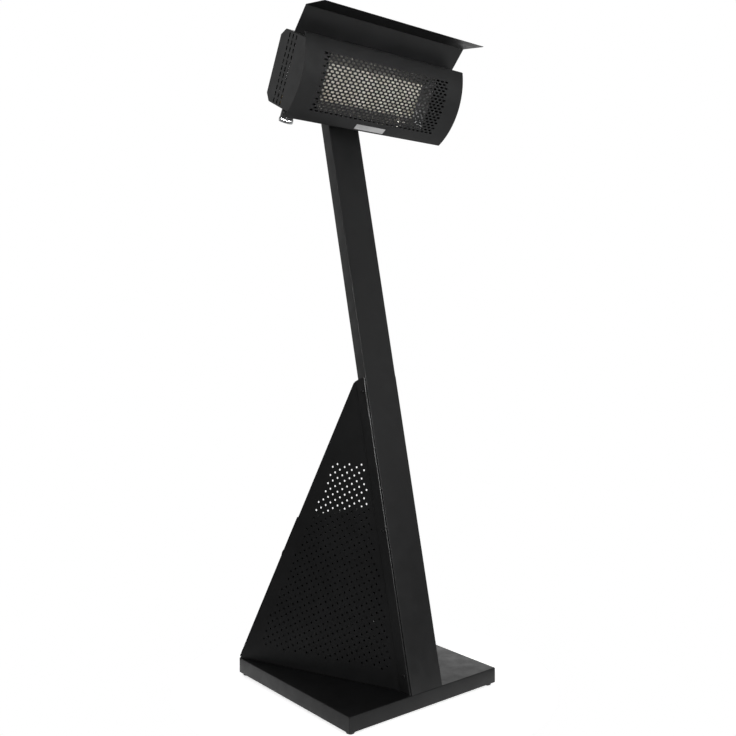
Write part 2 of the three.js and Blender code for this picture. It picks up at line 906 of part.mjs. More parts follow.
// Front cover: one curved sheet with turned-in long edges and staggered slots.
const arcPoint = (deg, r) => [
  COVER_R - COVER_SAG - r * Math.cos(rad(deg)),
  r * Math.sin(rad(deg)),
];
const N_ARC = 20;
const arc = (r) =>
  Array.from({ length: N_ARC + 1 }, (_, i) =>
    arcPoint(COVER_A - (2 * COVER_A * i) / N_ARC, r),
  );
const zEnd = COVER_R * Math.sin(rad(COVER_A));
let cover = alongX(
  [
    [8, zEnd],
    ...arc(COVER_R),
    [8, -zEnd],
    [8, -zEnd + 1.5],
    [3.4, -zEnd + 1.5],
    ...arc(COVER_R - COVER_T).slice(1, -1).reverse(),
    [3.4, zEnd - 1.5],
    [8, zEnd - 1.5],
  ],
  -HEAD_HALF,
  HEAD_HALF,
);
// every fourth row, and every other slot in it
const slots = [];
for (let j = -8; j <= 8; j += 4)
  for (let i = -13; i <= 12; i += 2) {
    const x = (i + 0.5) * SLOT_PX;
    const a = (SLOT_PS * j) / COVER_R;
    const g = new THREE.BoxGeometry(SLOT_L, 9, SLOT_W);
    g.translate(0, -COVER_R, 0);
    g.rotateX(-a);
    g.translate(x, COVER_R - COVER_SAG, 0);
    slots.push(solid(g));
  }
cover = cover.subtract(slots.reduce((a, b) => a.add(b)));
piece("front_cover", cover, powderHead, head);

// Bare name plate on the cover's lower margin.
{
  const a = rad(-29.8);
  const n = V(0, -Math.cos(a), Math.sin(a));
  const t = V(0, Math.sin(a), Math.cos(a));
  const c = V(1, COVER_R - COVER_SAG, 0).addScaledVector(n, COVER_R + GAP);
  piece(
    "name_plate",
    prism(rect(-59, 59, -10.3, 10.3), 0.9, c, X, t, n),
    aluminium,
    head,
  );
}

// Hood: foot on the casing's top, a panel leaning forwards, and a front panel over the cover.
piece(
  "hood",
  alongX(
    sheet(
      [
        [86, CASE_TOP + GAP],
        [58.4, CASE_TOP + GAP],
        [33.7, 194.7],
        [-54.6, 223.2],
      ].map(([y, z]) => [y, z]),
      -SHEET,
    ),
    -HEAD_HALF,
    HEAD_HALF,
  ),
  powderHead,
  head,
);

// Bracket on the casing's rear face with two ears on the tilt axis.
const EAR_OUT = ARM_IN - 0.6;
const EAR_IN = EAR_OUT - 3;
const earOutline = [
  [CASE_REAR + GAP, -72],
  ...Array.from({ length: 9 }, (_, i) => {
    const a = rad(-110 + (220 * i) / 8);
    return [PIVOT[0] + 17 * Math.cos(a), PIVOT[1] + 17 * Math.sin(a)];
  }),
  [CASE_REAR + GAP, 34],
];
piece(
  "head_bracket",
  cut(
    join(
      box(-EAR_OUT, EAR_OUT, CASE_REAR + GAP, CASE_REAR + GAP + 3, -72, 34),
      alongX(earOutline, EAR_IN, EAR_OUT),
      alongX(earOutline, -EAR_OUT, -EAR_IN),
    ),
    rod(V(-70, ...PIVOT), V(70, ...PIVOT), 4.4, 24),
    rod(V(-18, 120, PIVOT[1]), V(-18, 134, PIVOT[1]), 8, 16),
  ),
  powderHead,
  head,
);

// Hand knobs that clamp the tilt: stud through arm and ear, five-lobed grip outside.
for (const [name, s] of [
  ["tilt_clamp_left", -1],
  ["tilt_clamp_right", 1],
]) {
  const lobes = Array.from({ length: 40 }, (_, i) => {
    const a = (2 * Math.PI * i) / 40;
    const r = 19 + 3 * Math.cos(5 * a);
    return [r * Math.cos(a), r * Math.sin(a)];
  });
  const x0 = ARM_OUT + GAP;
  const grip = prism(
    lobes,
    16,
    pivot.clone().addScaledVector(X, s * (x0 + 5)),
    Y,
    Z,
    V(s, 0, 0),
  );
  const at = (x) => pivot.clone().addScaledVector(X, s * x);
  piece(
    name,
    join(
      grip,
      rod(at(x0), at(x0 + 6), 11, 20),
      rod(at(EAR_IN - 6), at(x0 + 2), 4, 20),
      rod(at(EAR_IN - 6), at(EAR_IN - GAP), 7.5, 6),
    ),
    plastic,
  );
}

// Burner: plenum box, four ceramic plaques, reflector round them.
const PX = 193;
const PZ = 70;
piece(
  "burner_plenum",
  cut(
    box(-PX, PX, TILE_Y, 82, -PZ, PZ),
    box(-PX + 2, PX - 2, TILE_Y - 1, TILE_Y + 13 + GAP, -PZ + 2, PZ - 2),
    box(-PX + 10, PX - 10, TILE_Y, TILE_Y + 16, -PZ + 10, PZ - 10),
    box(-PX + 2, PX - 2, TILE_Y + 15.3, 80, -PZ + 2, PZ - 2),
    rod(V(-PX - 5, 58, 28), V(-PX + 10, 58, 28), 16.6, 20),
  ),
  galvanised,
  head,
);
for (let i = 0; i < 4; i++) {
  const x = (i - 1.5) * TILE_PITCH;
  piece(
    "ceramic_tile_" + (i + 1),
    box(
      x - TILE[0] / 2,
      x + TILE[0] / 2,
      TILE_Y,
      TILE_Y + TILE[1],
      -TILE[2] / 2,
      TILE[2] / 2,
    ),
    ceramic,
    head,
  );
}
const RX = 186;
const RZ = 57.5;
const ryIn = TILE_Y - GAP;
const ryOut = -2.6;
const flare = ryIn - ryOut;
const quad = (x, y, z) => [
  [-x, y, -z],
  [x, y, -z],
  [x, y, z],
  [-x, y, z],
];
const refl = cut(
  join(
    box(-RX - 12, RX + 12, ryIn - 1.2, ryIn, -RZ - 17, RZ + 17),
    block(
      quad(RX + 1.5, ryIn, RZ + 1.5),
      quad(RX + 1.5 + flare, ryOut, RZ + 1.5 + flare),
    ),
  ),
  block(
    quad(RX - 2, ryIn + 2, RZ - 2),
    quad(RX - 2 + flare + 4, ryOut - 2, RZ - 2 + flare + 4),
  ),
);
piece(
  "reflector",
  cut(
    refl,
    rod(V(120, 12, -110), V(120, 12, -50), 5, 12),
    rod(V(150, 12, -110), V(150, 12, -50), 4, 12),
  ),
  stainless,
  head,
);
piece(
  "heat_shield",
  join(
    alongX(
      sheet(
        [
          [CASE_REAR - SHEET - GAP, 85],
          [93, 85],
          [93, -80],
          [CASE_REAR - SHEET - GAP, -80],
        ],
        1.2,
      ),
      -205,
      205,
    ),
    box(-160, -140, 82 + GAP, 93.5, -25, 25),
    box(140, 160, 82 + GAP, 93.5, -25, 25),
  ),
  galvanised,
  head,
);

// Mixing tube with its bell and the bridge that holds the injector in front of it.
const MIX = [58, 28];
const mixAt = (x) => V(x, ...MIX);
piece(
  "mixing_tube",
  cut(
    join(
      turned(
        [
          [14, 0],
          [16, 0],
          [16, 68],
          [22, 80],
          [22, 82],
          [20.5, 82],
          [14, 67],
          [14, 0],
        ],
        mixAt(-182),
        V(-1, 0, 0),
        20,
      ),
      box(-279, -262, MIX[0] - 6, MIX[0] + 6, MIX[1] + 18.5, MIX[1] + 21.5),
      box(-279, -262, MIX[0] - 6, MIX[0] + 6, MIX[1] - 21.5, MIX[1] - 18.5),
      box(-279, -276, MIX[0] - 14, MIX[0] + 14, MIX[1] - 21.5, MIX[1] + 21.5),
    ),
    rod(mixAt(-285), mixAt(-270), 6.5, 16),
  ),
  galvanised,
  head,
);
piece(
  "injector",
  join(
    rod(mixAt(-299), mixAt(-279 - GAP), 9, 6),
    rod(mixAt(-280), mixAt(-270), 6, 14),
  ),
  brass,
  head,
);

// Gas valve over the casing's floor, with its stem going down through it.
const kx = KNOB[0];
const ky = KNOB[1];
const down = V(0, 0, -1);
const floorIn = CASE_BOTTOM + SHEET;
piece(
  "gas_valve",
  cut(
    join(
      box(kx - 20, kx + 20, 13, 60, -99, -70),
      rod(V(kx, ky, -98), V(kx, ky, floorIn + GAP), 15, 20),
      rod(V(kx - 13, 42, -71), V(kx - 13, 42, -62), 6.5, 6),
      rod(V(kx, 59, -82), V(kx, 68, -82), 8.5, 6),
    ),
    rod(V(kx, ky, -110), V(kx, ky, -74), 4.4, 20),
  ),
  brass,
  head,
);
piece(
  "injector_tube",
  bent(
    [
      V(-299 - GAP, ...MIX),
      V(-308, ...MIX),
      V(-308, 56, -20),
      V(kx - 13, 42, -40),
      V(kx - 13, 42, -62 + GAP),
    ],
    3,
    12,
    6,
    22,
  ),
  aluminium,
  head,
);
piece(
  "head_gas_tube",
  join(
    rod(V(-27, ...PIVOT), V(-9 - GAP, ...PIVOT), 11, 20),
    bent(
      [
        V(-18, PIVOT[0], PIVOT[1]),
        V(-18, 110, PIVOT[1]),
        V(-235, 110, PIVOT[1]),
        V(kx, 110, -60),
        V(kx, 100, -82),
        V(kx, 68 + GAP, -82),
      ],
      4.5,
      18,
      8,
      32,
    ),
  ),
  aluminium,
  head,
);
piece(
  "igniter_electrode",
  join(
    rod(V(120, 12, -94), V(120, 12, -64), 4, 12),
    rod(V(120, 12, -66), V(120, 12, -50), 1.2, 6),
  ),
  ceramic,
  head,
);
piece(
  "thermocouple_probe",
  rod(V(150, 12, -94), V(150, 12, -50), 3, 10),
  stainless,
  head,
);

// Gas knob under the left end: bezel, stem, black grip and bright ring.
const kAt = (z) => V(kx, ky, z);
piece(
  "knob_bezel",
  turned(
    [
      [12, 0],
      [15.4, 0],
      [15.4, 3.2],
      [14, 4.5],
      [10, 4.5],
      [10, 1],
      [12, 0],
    ],
    kAt(CASE_BOTTOM - GAP),
    down,
    28,
  ),
  aluminium,
  head,
);
piece("valve_stem", rod(kAt(-79), kAt(-130), 4, 16), stainless, head);
piece(
  "control_knob",
  turned(
    [
      [4.4, 7],
      [16.4, 7],
      [16.4, 0],
      [19.2, 0],
      [20, 1],
      [20.6, 22],
      [14, 22],
      [14, 33],
      [12.5, 35],
      [0, 35.4],
      [0, 20],
      [4.4, 20],
      [4.4, 7],
    ],
    kAt(-111),
    down,
    28,
  ),
  plastic,
  head,
);
{
  const teeth = Array.from({ length: 60 }, (_, i) => {
    const a = (2 * Math.PI * i) / 60;
    const r = i % 3 ? 22.5 : 21.2;
    return [r * Math.cos(a), r * Math.sin(a)];
  });
  piece(
    "knob_ring",
    prism(teeth, 12, kAt(-133 - GAP), X, V(0, -1, 0), down, [
      circle(0, 0, 14.5, 32),
    ]),
    chrome,
    head,
  );
}

export default part;
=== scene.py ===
import math

import bmesh
import bpy
from mathutils import Matrix, Vector
from mathutils.geometry import delaunay_2d_cdt


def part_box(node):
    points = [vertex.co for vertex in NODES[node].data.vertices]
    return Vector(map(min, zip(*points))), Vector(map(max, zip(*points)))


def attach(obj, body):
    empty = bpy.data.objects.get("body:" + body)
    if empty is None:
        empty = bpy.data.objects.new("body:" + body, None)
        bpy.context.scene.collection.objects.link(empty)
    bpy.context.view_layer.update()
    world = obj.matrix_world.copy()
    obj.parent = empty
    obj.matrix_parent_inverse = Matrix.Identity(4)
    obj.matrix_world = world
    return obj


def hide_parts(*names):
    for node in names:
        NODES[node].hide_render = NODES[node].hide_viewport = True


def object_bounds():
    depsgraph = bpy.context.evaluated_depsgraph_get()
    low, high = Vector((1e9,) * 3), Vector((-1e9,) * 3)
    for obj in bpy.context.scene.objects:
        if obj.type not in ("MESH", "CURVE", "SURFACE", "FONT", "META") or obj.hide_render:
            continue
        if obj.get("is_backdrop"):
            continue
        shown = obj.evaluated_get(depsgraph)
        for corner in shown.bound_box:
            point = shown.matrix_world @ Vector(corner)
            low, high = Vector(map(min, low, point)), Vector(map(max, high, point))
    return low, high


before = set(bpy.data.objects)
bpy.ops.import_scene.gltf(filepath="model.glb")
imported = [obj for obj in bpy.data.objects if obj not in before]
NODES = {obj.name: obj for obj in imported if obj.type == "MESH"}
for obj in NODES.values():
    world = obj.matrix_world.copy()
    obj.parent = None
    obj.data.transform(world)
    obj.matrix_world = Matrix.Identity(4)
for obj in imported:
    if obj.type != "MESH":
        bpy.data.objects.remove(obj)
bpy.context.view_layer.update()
scene = bpy.context.scene
MM = 0.001

# ------------------------------------------------------------------ camera
F_PX = 887.163
YAW, PITCH = 0.6809278, -0.0355826
fwd = Vector(
    (
        math.sin(YAW) * math.cos(PITCH),
        math.cos(YAW) * math.cos(PITCH),
        math.sin(PITCH),
    )
)
right = Vector((math.cos(YAW), -math.sin(YAW), 0.0))
cam_up = right.cross(fwd)
cam_data = bpy.data.cameras.new("camera")
cam_data.sensor_fit = "HORIZONTAL"
cam_data.sensor_width = 36.0
cam_data.lens = F_PX * 36.0 / 736.0
cam_data.clip_start = 0.05
cam_data.clip_end = 200.0
cam = bpy.data.objects.new("camera", cam_data)
m = Matrix((right, cam_up, -fwd)).transposed().to_4x4()
m.translation = Vector((-1.811419, -2.249549, 1.130818))
cam.matrix_world = m
scene.collection.objects.link(cam)
scene.camera = cam

scene.view_settings.view_transform = "Standard"
scene.view_settings.look = "None"
scene.view_settings.exposure = 0.0
scene.view_settings.gamma = 1.0

# ------------------------------------------------------------------ the part's own frames, mm
LEAN = math.atan(0.23426)
SB, CB = math.sin(LEAN), math.cos(LEAN)
ED, EA, EX = Vector((0, CB, -SB)), Vector((0, SB, CB)), Vector((1, 0, 0))
BASE_TOP = 56.4
P0 = Vector((0, -300, BASE_TOP))


def post(x, d, a):
    return P0 + EX * x + ED * d + EA * a


HEAD_POS = Vector((0, -65.3, 1898.1))
TILT = math.radians(27.27)
HY = Vector((0, math.cos(TILT), math.sin(TILT)))
HZ = Vector((0, -math.sin(TILT), math.cos(TILT)))


def head(x, y, z):
    return HEAD_POS + EX * x + HY * y + HZ * z


# ------------------------------------------------------------------ materials
def node_tree(mat):
    mat.use_nodes = True
    nt = mat.node_tree
    nt.nodes.clear()
    out = nt.nodes.new("ShaderNodeOutputMaterial")
    b = nt.nodes.new("ShaderNodeBsdfPrincipled")
    nt.links.new(b.outputs[0], out.inputs[0])
    return nt, b


def coords(nt):
    return nt.nodes.new("ShaderNodeTexCoord").outputs["Object"]


def noise(nt, vec, scale, detail=2.0, rough=0.5, stretch=None):
    if stretch:
        mp = nt.nodes.new("ShaderNodeMapping")
        mp.inputs["Scale"].default_value = stretch
        nt.links.new(vec, mp.inputs["Vector"])
        vec = mp.outputs[0]
    n = nt.nodes.new("ShaderNodeTexNoise")
    n.inputs["Scale"].default_value = scale
    n.inputs["Detail"].default_value = detail
    n.inputs["Roughness"].default_value = rough
    nt.links.new(vec, n.inputs["Vector"])
    return n.outputs["Fac"]


def spread(nt, fac, lo, hi, fmin=0.35, fmax=0.65):
    r = nt.nodes.new("ShaderNodeMapRange")
    r.inputs["From Min"].default_value = fmin
    r.inputs["From Max"].default_value = fmax
    r.inputs["To Min"].default_value = lo
    r.inputs["To Max"].default_value = hi
    nt.links.new(fac, r.inputs["Value"])
    return r.outputs[0]


def ramp(nt, fac, stops):
    r = nt.nodes.new("ShaderNodeValToRGB")
    e = r.color_ramp.elements
    while len(e) > len(stops):
        e.remove(e[-1])
    while len(e) < len(stops):
        e.new(0.5)
    for el, (p, c) in zip(e, stops):
        el.position = p
        el.color = (*c, 1)
    nt.links.new(fac, r.inputs[0])
    return r.outputs[0]


def bump(nt, b, height, strength, distance, prev=None):
    n = nt.nodes.new("ShaderNodeBump")
    n.inputs["Strength"].default_value = strength
    n.inputs["Distance"].default_value = distance
    nt.links.new(height, n.inputs["Height"])
    if prev is not None:
        nt.links.new(prev, n.inputs["Normal"])
    nt.links.new(n.outputs[0], b.inputs["Normal"])
    return n.outputs[0]


def mathn(nt, op, a, b=None, clamp=False):
    n = nt.nodes.new("ShaderNodeMath")
    n.operation = op
    n.use_clamp = clamp
    for i, v in enumerate((a, b)):
        if v is None:
            continue
        if isinstance(v, (int, float)):
            n.inputs[i].default_value = v
        else:
            nt.links.new(v, n.inputs[i])
    return n.outputs[0]


def mix_color(nt, fac, a, b):
    n = nt.nodes.new("ShaderNodeMix")
    n.data_type = "RGBA"
    for sock, v in ((n.inputs[0], fac), (n.inputs[6], a), (n.inputs[7], b)):
        if isinstance(v, (int, float)):
            sock.default_value = v
        elif isinstance(v, tuple):
            sock.default_value = (*v, 1)
        else:
            nt.links.new(v, sock)
    return n.outputs[2]


def powder(name, base, rough, spec=0.5, grain=0.10):
    """Fine powder coat: slight cloudiness, orange peel, a little dust on what faces up."""
    mat = bpy.data.materials.new(name)
    nt, b = node_tree(mat)
    c = coords(nt)
    cloud = noise(nt, c, 9.0, 3.0)
    lo = tuple(v * 0.86 for v in base)
    hi = tuple(v * 1.16 for v in base)
    col = ramp(nt, cloud, [(0.36, lo), (0.64, hi)])
    geo = nt.nodes.new("ShaderNodeNewGeometry")
    sep = nt.nodes.new("ShaderNodeSeparateXYZ")
    nt.links.new(geo.outputs["Normal"], sep.inputs[0])
    facing = mathn(nt, "MULTIPLY", mathn(nt, "MAXIMUM", sep.outputs["Z"], 0.0), 0.012)
    speck = spread(nt, noise(nt, c, 260.0, 3.0, 0.7), 0.2, 1.0, 0.42, 0.7)
    dust = mathn(nt, "MULTIPLY", facing, speck, True)
    col = mix_color(nt, dust, col, (0.16, 0.155, 0.145))
    nt.links.new(col, b.inputs["Base Color"])
    r = spread(nt, noise(nt, c, 28.0, 4.0), rough - 0.045, rough + 0.05)
    nt.links.new(r, b.inputs["Roughness"])
    b.inputs["Specular IOR Level"].default_value = spec
    peel = bump(nt, b, noise(nt, c, 420.0, 2.0), grain, 0.0004)
    bump(nt, b, noise(nt, c, 2600.0, 1.0), grain * 1.3, 0.0001, peel)
    return mat


def metal(name, base, rough, stretch=None, scale=600.0, strength=0.12, tint=0.1):
    mat = bpy.data.materials.new(name)
    nt, b = node_tree(mat)
    c = coords(nt)
    cloud = noise(nt, c, 14.0, 3.0)
    lo = tuple(v * (1 - tint) for v in base)
    hi = tuple(min(1, v * (1 + tint)) for v in base)
    nt.links.new(ramp(nt, cloud, [(0.35, lo), (0.65, hi)]), b.inputs["Base Color"])
    b.inputs["Metallic"].default_value = 1.0
    fine = noise(nt, c, scale, 3.0, 0.6, stretch)
    nt.links.new(spread(nt, fine, rough - 0.06, rough + 0.07), b.inputs["Roughness"])
    bump(nt, b, fine, strength, 0.0002)
    return mat


def spangle(name, base, rough):
    """Galvanised sheet."""
    mat = bpy.data.materials.new(name)
    nt, b = node_tree(mat)
    c = coords(nt)
    v = nt.nodes.new("ShaderNodeTexVoronoi")
    v.inputs["Scale"].default_value = 160.0
    nt.links.new(c, v.inputs["Vector"])
    g = nt.nodes.new("ShaderNodeSeparateColor")
    nt.links.new(v.outputs["Color"], g.inputs[0])
    lo = tuple(x * 0.82 for x in base)
    hi = tuple(min(1, x * 1.12) for x in base)
    nt.links.new(
        ramp(nt, g.outputs[0], [(0.1, lo), (0.9, hi)]), b.inputs["Base Color"]
    )
    b.inputs["Metallic"].default_value = 1.0
    nt.links.new(
        spread(nt, g.outputs[1], rough - 0.08, rough + 0.1, 0, 1),
        b.inputs["Roughness"],
    )
    bump(nt, b, noise(nt, c, 500.0), 0.08, 0.0002)
    return mat


def moulded(name, base, rough, grain_scale=1800.0, grain=0.2, spec=0.5):
    """Moulded plastic or rubber with a fine grain."""
    mat = bpy.data.materials.new(name)
    nt, b = node_tree(mat)
    c = coords(nt)
    lo = tuple(v * 0.85 for v in base)
    hi = tuple(v * 1.2 for v in base)
    nt.links.new(
        ramp(nt, noise(nt, c, 40.0), [(0.35, lo), (0.65, hi)]), b.inputs["Base Color"]
    )
    nt.links.new(
        spread(nt, noise(nt, c, 120.0, 3.0), rough - 0.06, rough + 0.06),
        b.inputs["Roughness"],
    )
    b.inputs["Specular IOR Level"].default_value = spec
    bump(nt, b, noise(nt, c, grain_scale, 2.0), grain, 0.00012)
    return mat


def plaque(name):
    """Fired cordierite plaque: cream, finely pierced, with a few warmer stains; the pores are darkened with painted
    shade.
    """
    mat = bpy.data.materials.new(name)
    nt, b = node_tree(mat)
    c = coords(nt)
    base = ramp(
        nt,
        noise(nt, c, 22.0, 4.0, 0.6),
        [(0.3, (0.60, 0.55, 0.46)), (0.55, (0.74, 0.71, 0.64)), (0.8, (0.80, 0.78, 0.72))],
    )
    v = nt.nodes.new("ShaderNodeTexVoronoi")
    v.inputs["Scale"].default_value = 420.0
    v.inputs["Randomness"].default_value = 0.15
    nt.links.new(c, v.inputs["Vector"])
    pore_and_shade = spread(nt, v.outputs["Distance"], 0.0, 1.0, 0.16, 0.3)
    # painted shade: the pore dots are darkened towards (0.20, 0.17, 0.13) as shade inside the holes, which are only
    # bumped, not cut
    col = mix_color(nt, pore_and_shade, (0.20, 0.17, 0.13), base)
    nt.links.new(col, b.inputs["Base Color"])
    b.inputs["Roughness"].default_value = 0.93
    b.inputs["Specular IOR Level"].default_value = 0.2
    p = bump(nt, b, pore_and_shade, 0.6, 0.0008)
    bump(nt, b, noise(nt, c, 900.0, 3.0), 0.25, 0.0003, p)
    return mat


M = {
    "black_powder_coat": powder("powder_black", (0.0044, 0.0045, 0.0047), 0.44, 0.46),
    "head_powder_coat": powder("powder_head", (0.0050, 0.0051, 0.0053), 0.44, 0.46),
    "black_steel": powder("paint_black_steel", (0.006, 0.006, 0.0063), 0.38, 0.5, 0.05),
    "galvanised_steel": spangle("galvanised", (0.50, 0.51, 0.52), 0.42),
    "stainless_steel": metal(
        "stainless_brushed", (0.62, 0.61, 0.59), 0.32, (1, 22, 22), 90.0, 0.2
    ),
    "brass": metal("brass_turned", (0.66, 0.47, 0.20), 0.30, (1, 1, 1), 700.0, 0.1, 0.14),
    "aluminium": metal("aluminium_satin", (0.80, 0.80, 0.80), 0.36, (1, 30, 30), 60.0, 0.12, 0.04),
    "ceramic": plaque("ceramic_plaque"),
    "black_plastic": moulded("plastic_black", (0.013, 0.013, 0.0135), 0.42),
    "chrome": metal("chrome_bright", (0.86, 0.87, 0.88), 0.13, (1, 1, 1), 900.0, 0.03, 0.03),
    "rubber": moulded("rubber_black", (0.014, 0.014, 0.014), 0.72, 900.0, 0.3, 0.3),
}
BASE_COAT = powder("powder_base", (0.0044, 0.0045, 0.0047), 0.43, 0.27)
PANEL_COAT = powder("powder_panel", (0.0042, 0.0043, 0.0045), 0.58, 0.22)
HEM_COAT = powder("powder_hem", (0.0046, 0.0047, 0.0049), 0.32, 0.7, 0.05)
SCREW_COAT = powder("screw_black", (0.0030, 0.0030, 0.0031), 0.50, 0.30, 0.05)


# ------------------------------------------------------------------ mesh helpers
def to_mm(p):
    return Vector(p) * MM


def make(name, verts, faces, slot, body, nodes=(), smooth=32.0, mat=None):
    """A piece from points in millimetres."""
    me = bpy.data.meshes.new(name)
    me.from_pydata([tuple(to_mm(v)) for v in verts], [], faces)
    return finish_mesh(name, me, slot, body, nodes, smooth, mat)


def finish_mesh(name, me, slot, body, nodes=(), smooth=32.0, mat=None):
    bm = bmesh.new()
    bm.from_mesh(me)
    bmesh.ops.remove_doubles(bm, verts=bm.verts, dist=4e-6)
    bm.to_mesh(me)
    bm.free()
    me.update()
    ob = bpy.data.objects.new(name, me)
    scene.collection.objects.link(ob)
    me.materials.clear()
    me.materials.append(mat or M[slot])
    me.shade_smooth()
    me.set_sharp_from_angle(angle=math.radians(smooth))
    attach(ob, body)
    if nodes:
        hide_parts(*nodes)
    return ob


def recalc(ob):
    bm = bmesh.new()
    bm.from_mesh(ob.data)
    bmesh.ops.recalc_face_normals(bm, faces=bm.faces)
    bm.to_mesh(ob.data)
    bm.free()


def apply_modifiers(ob, smooth=32.0):
    dg = bpy.context.evaluated_depsgraph_get()
    me = bpy.data.meshes.new_from_object(ob.evaluated_get(dg))
    ob.modifiers.clear()
    ob.data = me
    me.shade_smooth()
    me.set_sharp_from_angle(angle=math.radians(smooth))
    return ob


def bevelled(ob, width, segments=2, angle=28.0, smooth=32.0):
    b = ob.modifiers.new("bevel", "BEVEL")
    b.width = width * MM
    b.segments = segments
    b.limit_method = "ANGLE"
    b.angle_limit = math.radians(angle)
    b.use_clamp_overlap = True
    b.harden_normals = False
    return apply_modifiers(ob, smooth)


def solidified(ob, t, smooth=32.0):
    """Gives a skin its sheet thickness, behind its outer face."""
    me = ob.data
    nv = len(me.vertices)
    t = t * MM
    sums = [dict() for _ in range(nv)]
    for p in me.polygons:
        n = p.normal
        if p.area < 1e-12:
            continue
        key = (round(n.x, 2), round(n.y, 2), round(n.z, 2))
        for i in p.vertices:
            sums[i].setdefault(key, n.copy())
    inner = []
    for i, v in enumerate(me.vertices):
        ns = list(sums[i].values())
        if not ns:
            inner.append(v.co.copy())
            continue
        mean = sum(ns, Vector((0, 0, 0))).normalized()
        a = Matrix(((1e-3, 0, 0), (0, 1e-3, 0), (0, 0, 1e-3)))
        b = mean * 1e-3
        for n in ns:
            for r in range(3):
                for c in range(3):
                    a[r][c] += n[r] * n[c]
            b = b + n
        d = a.inverted() @ b
        if d.length > 1.7:
            d = d.normalized() * 1.7
        inner.append(v.co - d * t)
    verts = [v.co.copy() for v in me.vertices] + inner
    faces, used = [], {}
    for p in me.polygons:
        vs = list(p.vertices)
        faces.append(tuple(vs))
        faces.append(tuple(nv + i for i in reversed(vs)))
        for a0, b0 in zip(vs, vs[1:] + vs[:1]):
            used[(a0, b0)] = used.get((a0, b0), 0) + 1
    for (a0, b0), k in used.items():
        if (b0, a0) not in used:
            faces.append((b0, a0, nv + a0, nv + b0))
    new = bpy.data.meshes.new(ob.name)
    new.from_pydata([tuple(v) for v in verts], [], faces)
    new.update()
    for mat in me.materials:
        new.materials.append(mat)
    ob.data = new
    new.shade_smooth()
    new.set_sharp_from_angle(angle=math.radians(smooth))
    return ob


def tidy(node, body, slot, width=0.5, segments=2, angle=30.0, name=None, mat=None):
    """The CAD node's own shape with softened edges and smooth round faces."""
    src = NODES[node]
    me = src.data.copy()
    bm = bmesh.new()
    bm.from_mesh(me)
    bmesh.ops.remove_doubles(bm, verts=bm.verts, dist=2e-6)
    bmesh.ops.dissolve_limit(
        bm,
        angle_limit=math.radians(0.6),
        verts=bm.verts,
        edges=bm.edges,
    )
    bm.to_mesh(me)
    bm.free()
    name = name or node + "_finish"
    me.name = name
    ob = bpy.data.objects.new(name, me)
    scene.collection.objects.link(ob)
    me.materials.clear()
    me.materials.append(mat or M[slot])
    if width:
        bevelled(ob, width, segments, angle)
    else:
        me.shade_smooth()
        me.set_sharp_from_angle(angle=math.radians(34))
    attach(ob, body)
    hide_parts(node)
    return ob


def inside(p, poly):
    x, y = p
    hit = False
    j = len(poly) - 1
    for i in range(len(poly)):
        (xi, yi), (xj, yj) = poly[i], poly[j]
        if (yi > y) != (yj > y) and x < (xj - xi) * (y - yi) / (yj - yi) + xi:
            hit = not hit
        j = i
    return hit


def cdt(outline, holes=(), lines=()):
    """Triangles of an outline less its holes; lines are extra edges to respect."""
    verts, edges = [], []

    def ring(pts, closed=True):
        k = len(verts)
        verts.extend(Vector(p) for p in pts)
        n = len(pts)
        for i in range(n if closed else n - 1):
            edges.append((k + i, k + (i + 1) % n))

    ring(outline)
    for h in holes:
        ring(h)
    for l in lines:
        ring(l, False)
    r = delaunay_2d_cdt(verts, edges, [], 0, 1e-6)
    pts, tris = r[0], r[2]
    boxes = []
    for h in holes:
        xs, ys = [p[0] for p in h], [p[1] for p in h]
        boxes.append((min(xs), max(xs), min(ys), max(ys), h))
    cell = 40.0
    grid = {}
    for b in boxes:
        for i in range(int(b[0] // cell), int(b[1] // cell) + 1):
            for j in range(int(b[2] // cell), int(b[3] // cell) + 1):
                grid.setdefault((i, j), []).append(b)
    keep = []
    for t in tris:
        c = (
            sum(pts[i][0] for i in t) / len(t),
            sum(pts[i][1] for i in t) / len(t),
        )
        if not inside(c, outline):
            continue
        near = grid.get((int(c[0] // cell), int(c[1] // cell)), ())
        if any(
            b[0] < c[0] < b[1] and b[2] < c[1] < b[3] and inside(c, b[4]) for b in near
        ):
            continue
        keep.append(tuple(t))
    used = sorted({i for t in keep for i in t})
    new = {o: k for k, o in enumerate(used)}
    return [tuple(pts[i]) for i in used], [tuple(new[i] for i in t) for t in keep]


def ring_pts(cx, cy, r, n, turn=0.0):
    return [
        (
            cx + r * math.cos(turn + 2 * math.pi * i / n),
            cy + r * math.sin(turn + 2 * math.pi * i / n),
        )
        for i in range(n)
    ]


def obround(cx, cy, length, width, n=7, upright=False):
    """Slot outline, long way along the first axis."""
    r, s = width / 2, (length - width) / 2
    pts = []
    for sgn, a0 in ((1, -90), (-1, 90)):
        for i in range(n + 1):
            a = math.radians(a0 + 180 * i / n)
            pts.append((sgn * s + r * math.cos(a), r * math.sin(a)))
    if upright:
        pts = [(-y, x) for x, y in pts]
    return [(cx + x, cy + y) for x, y in pts]


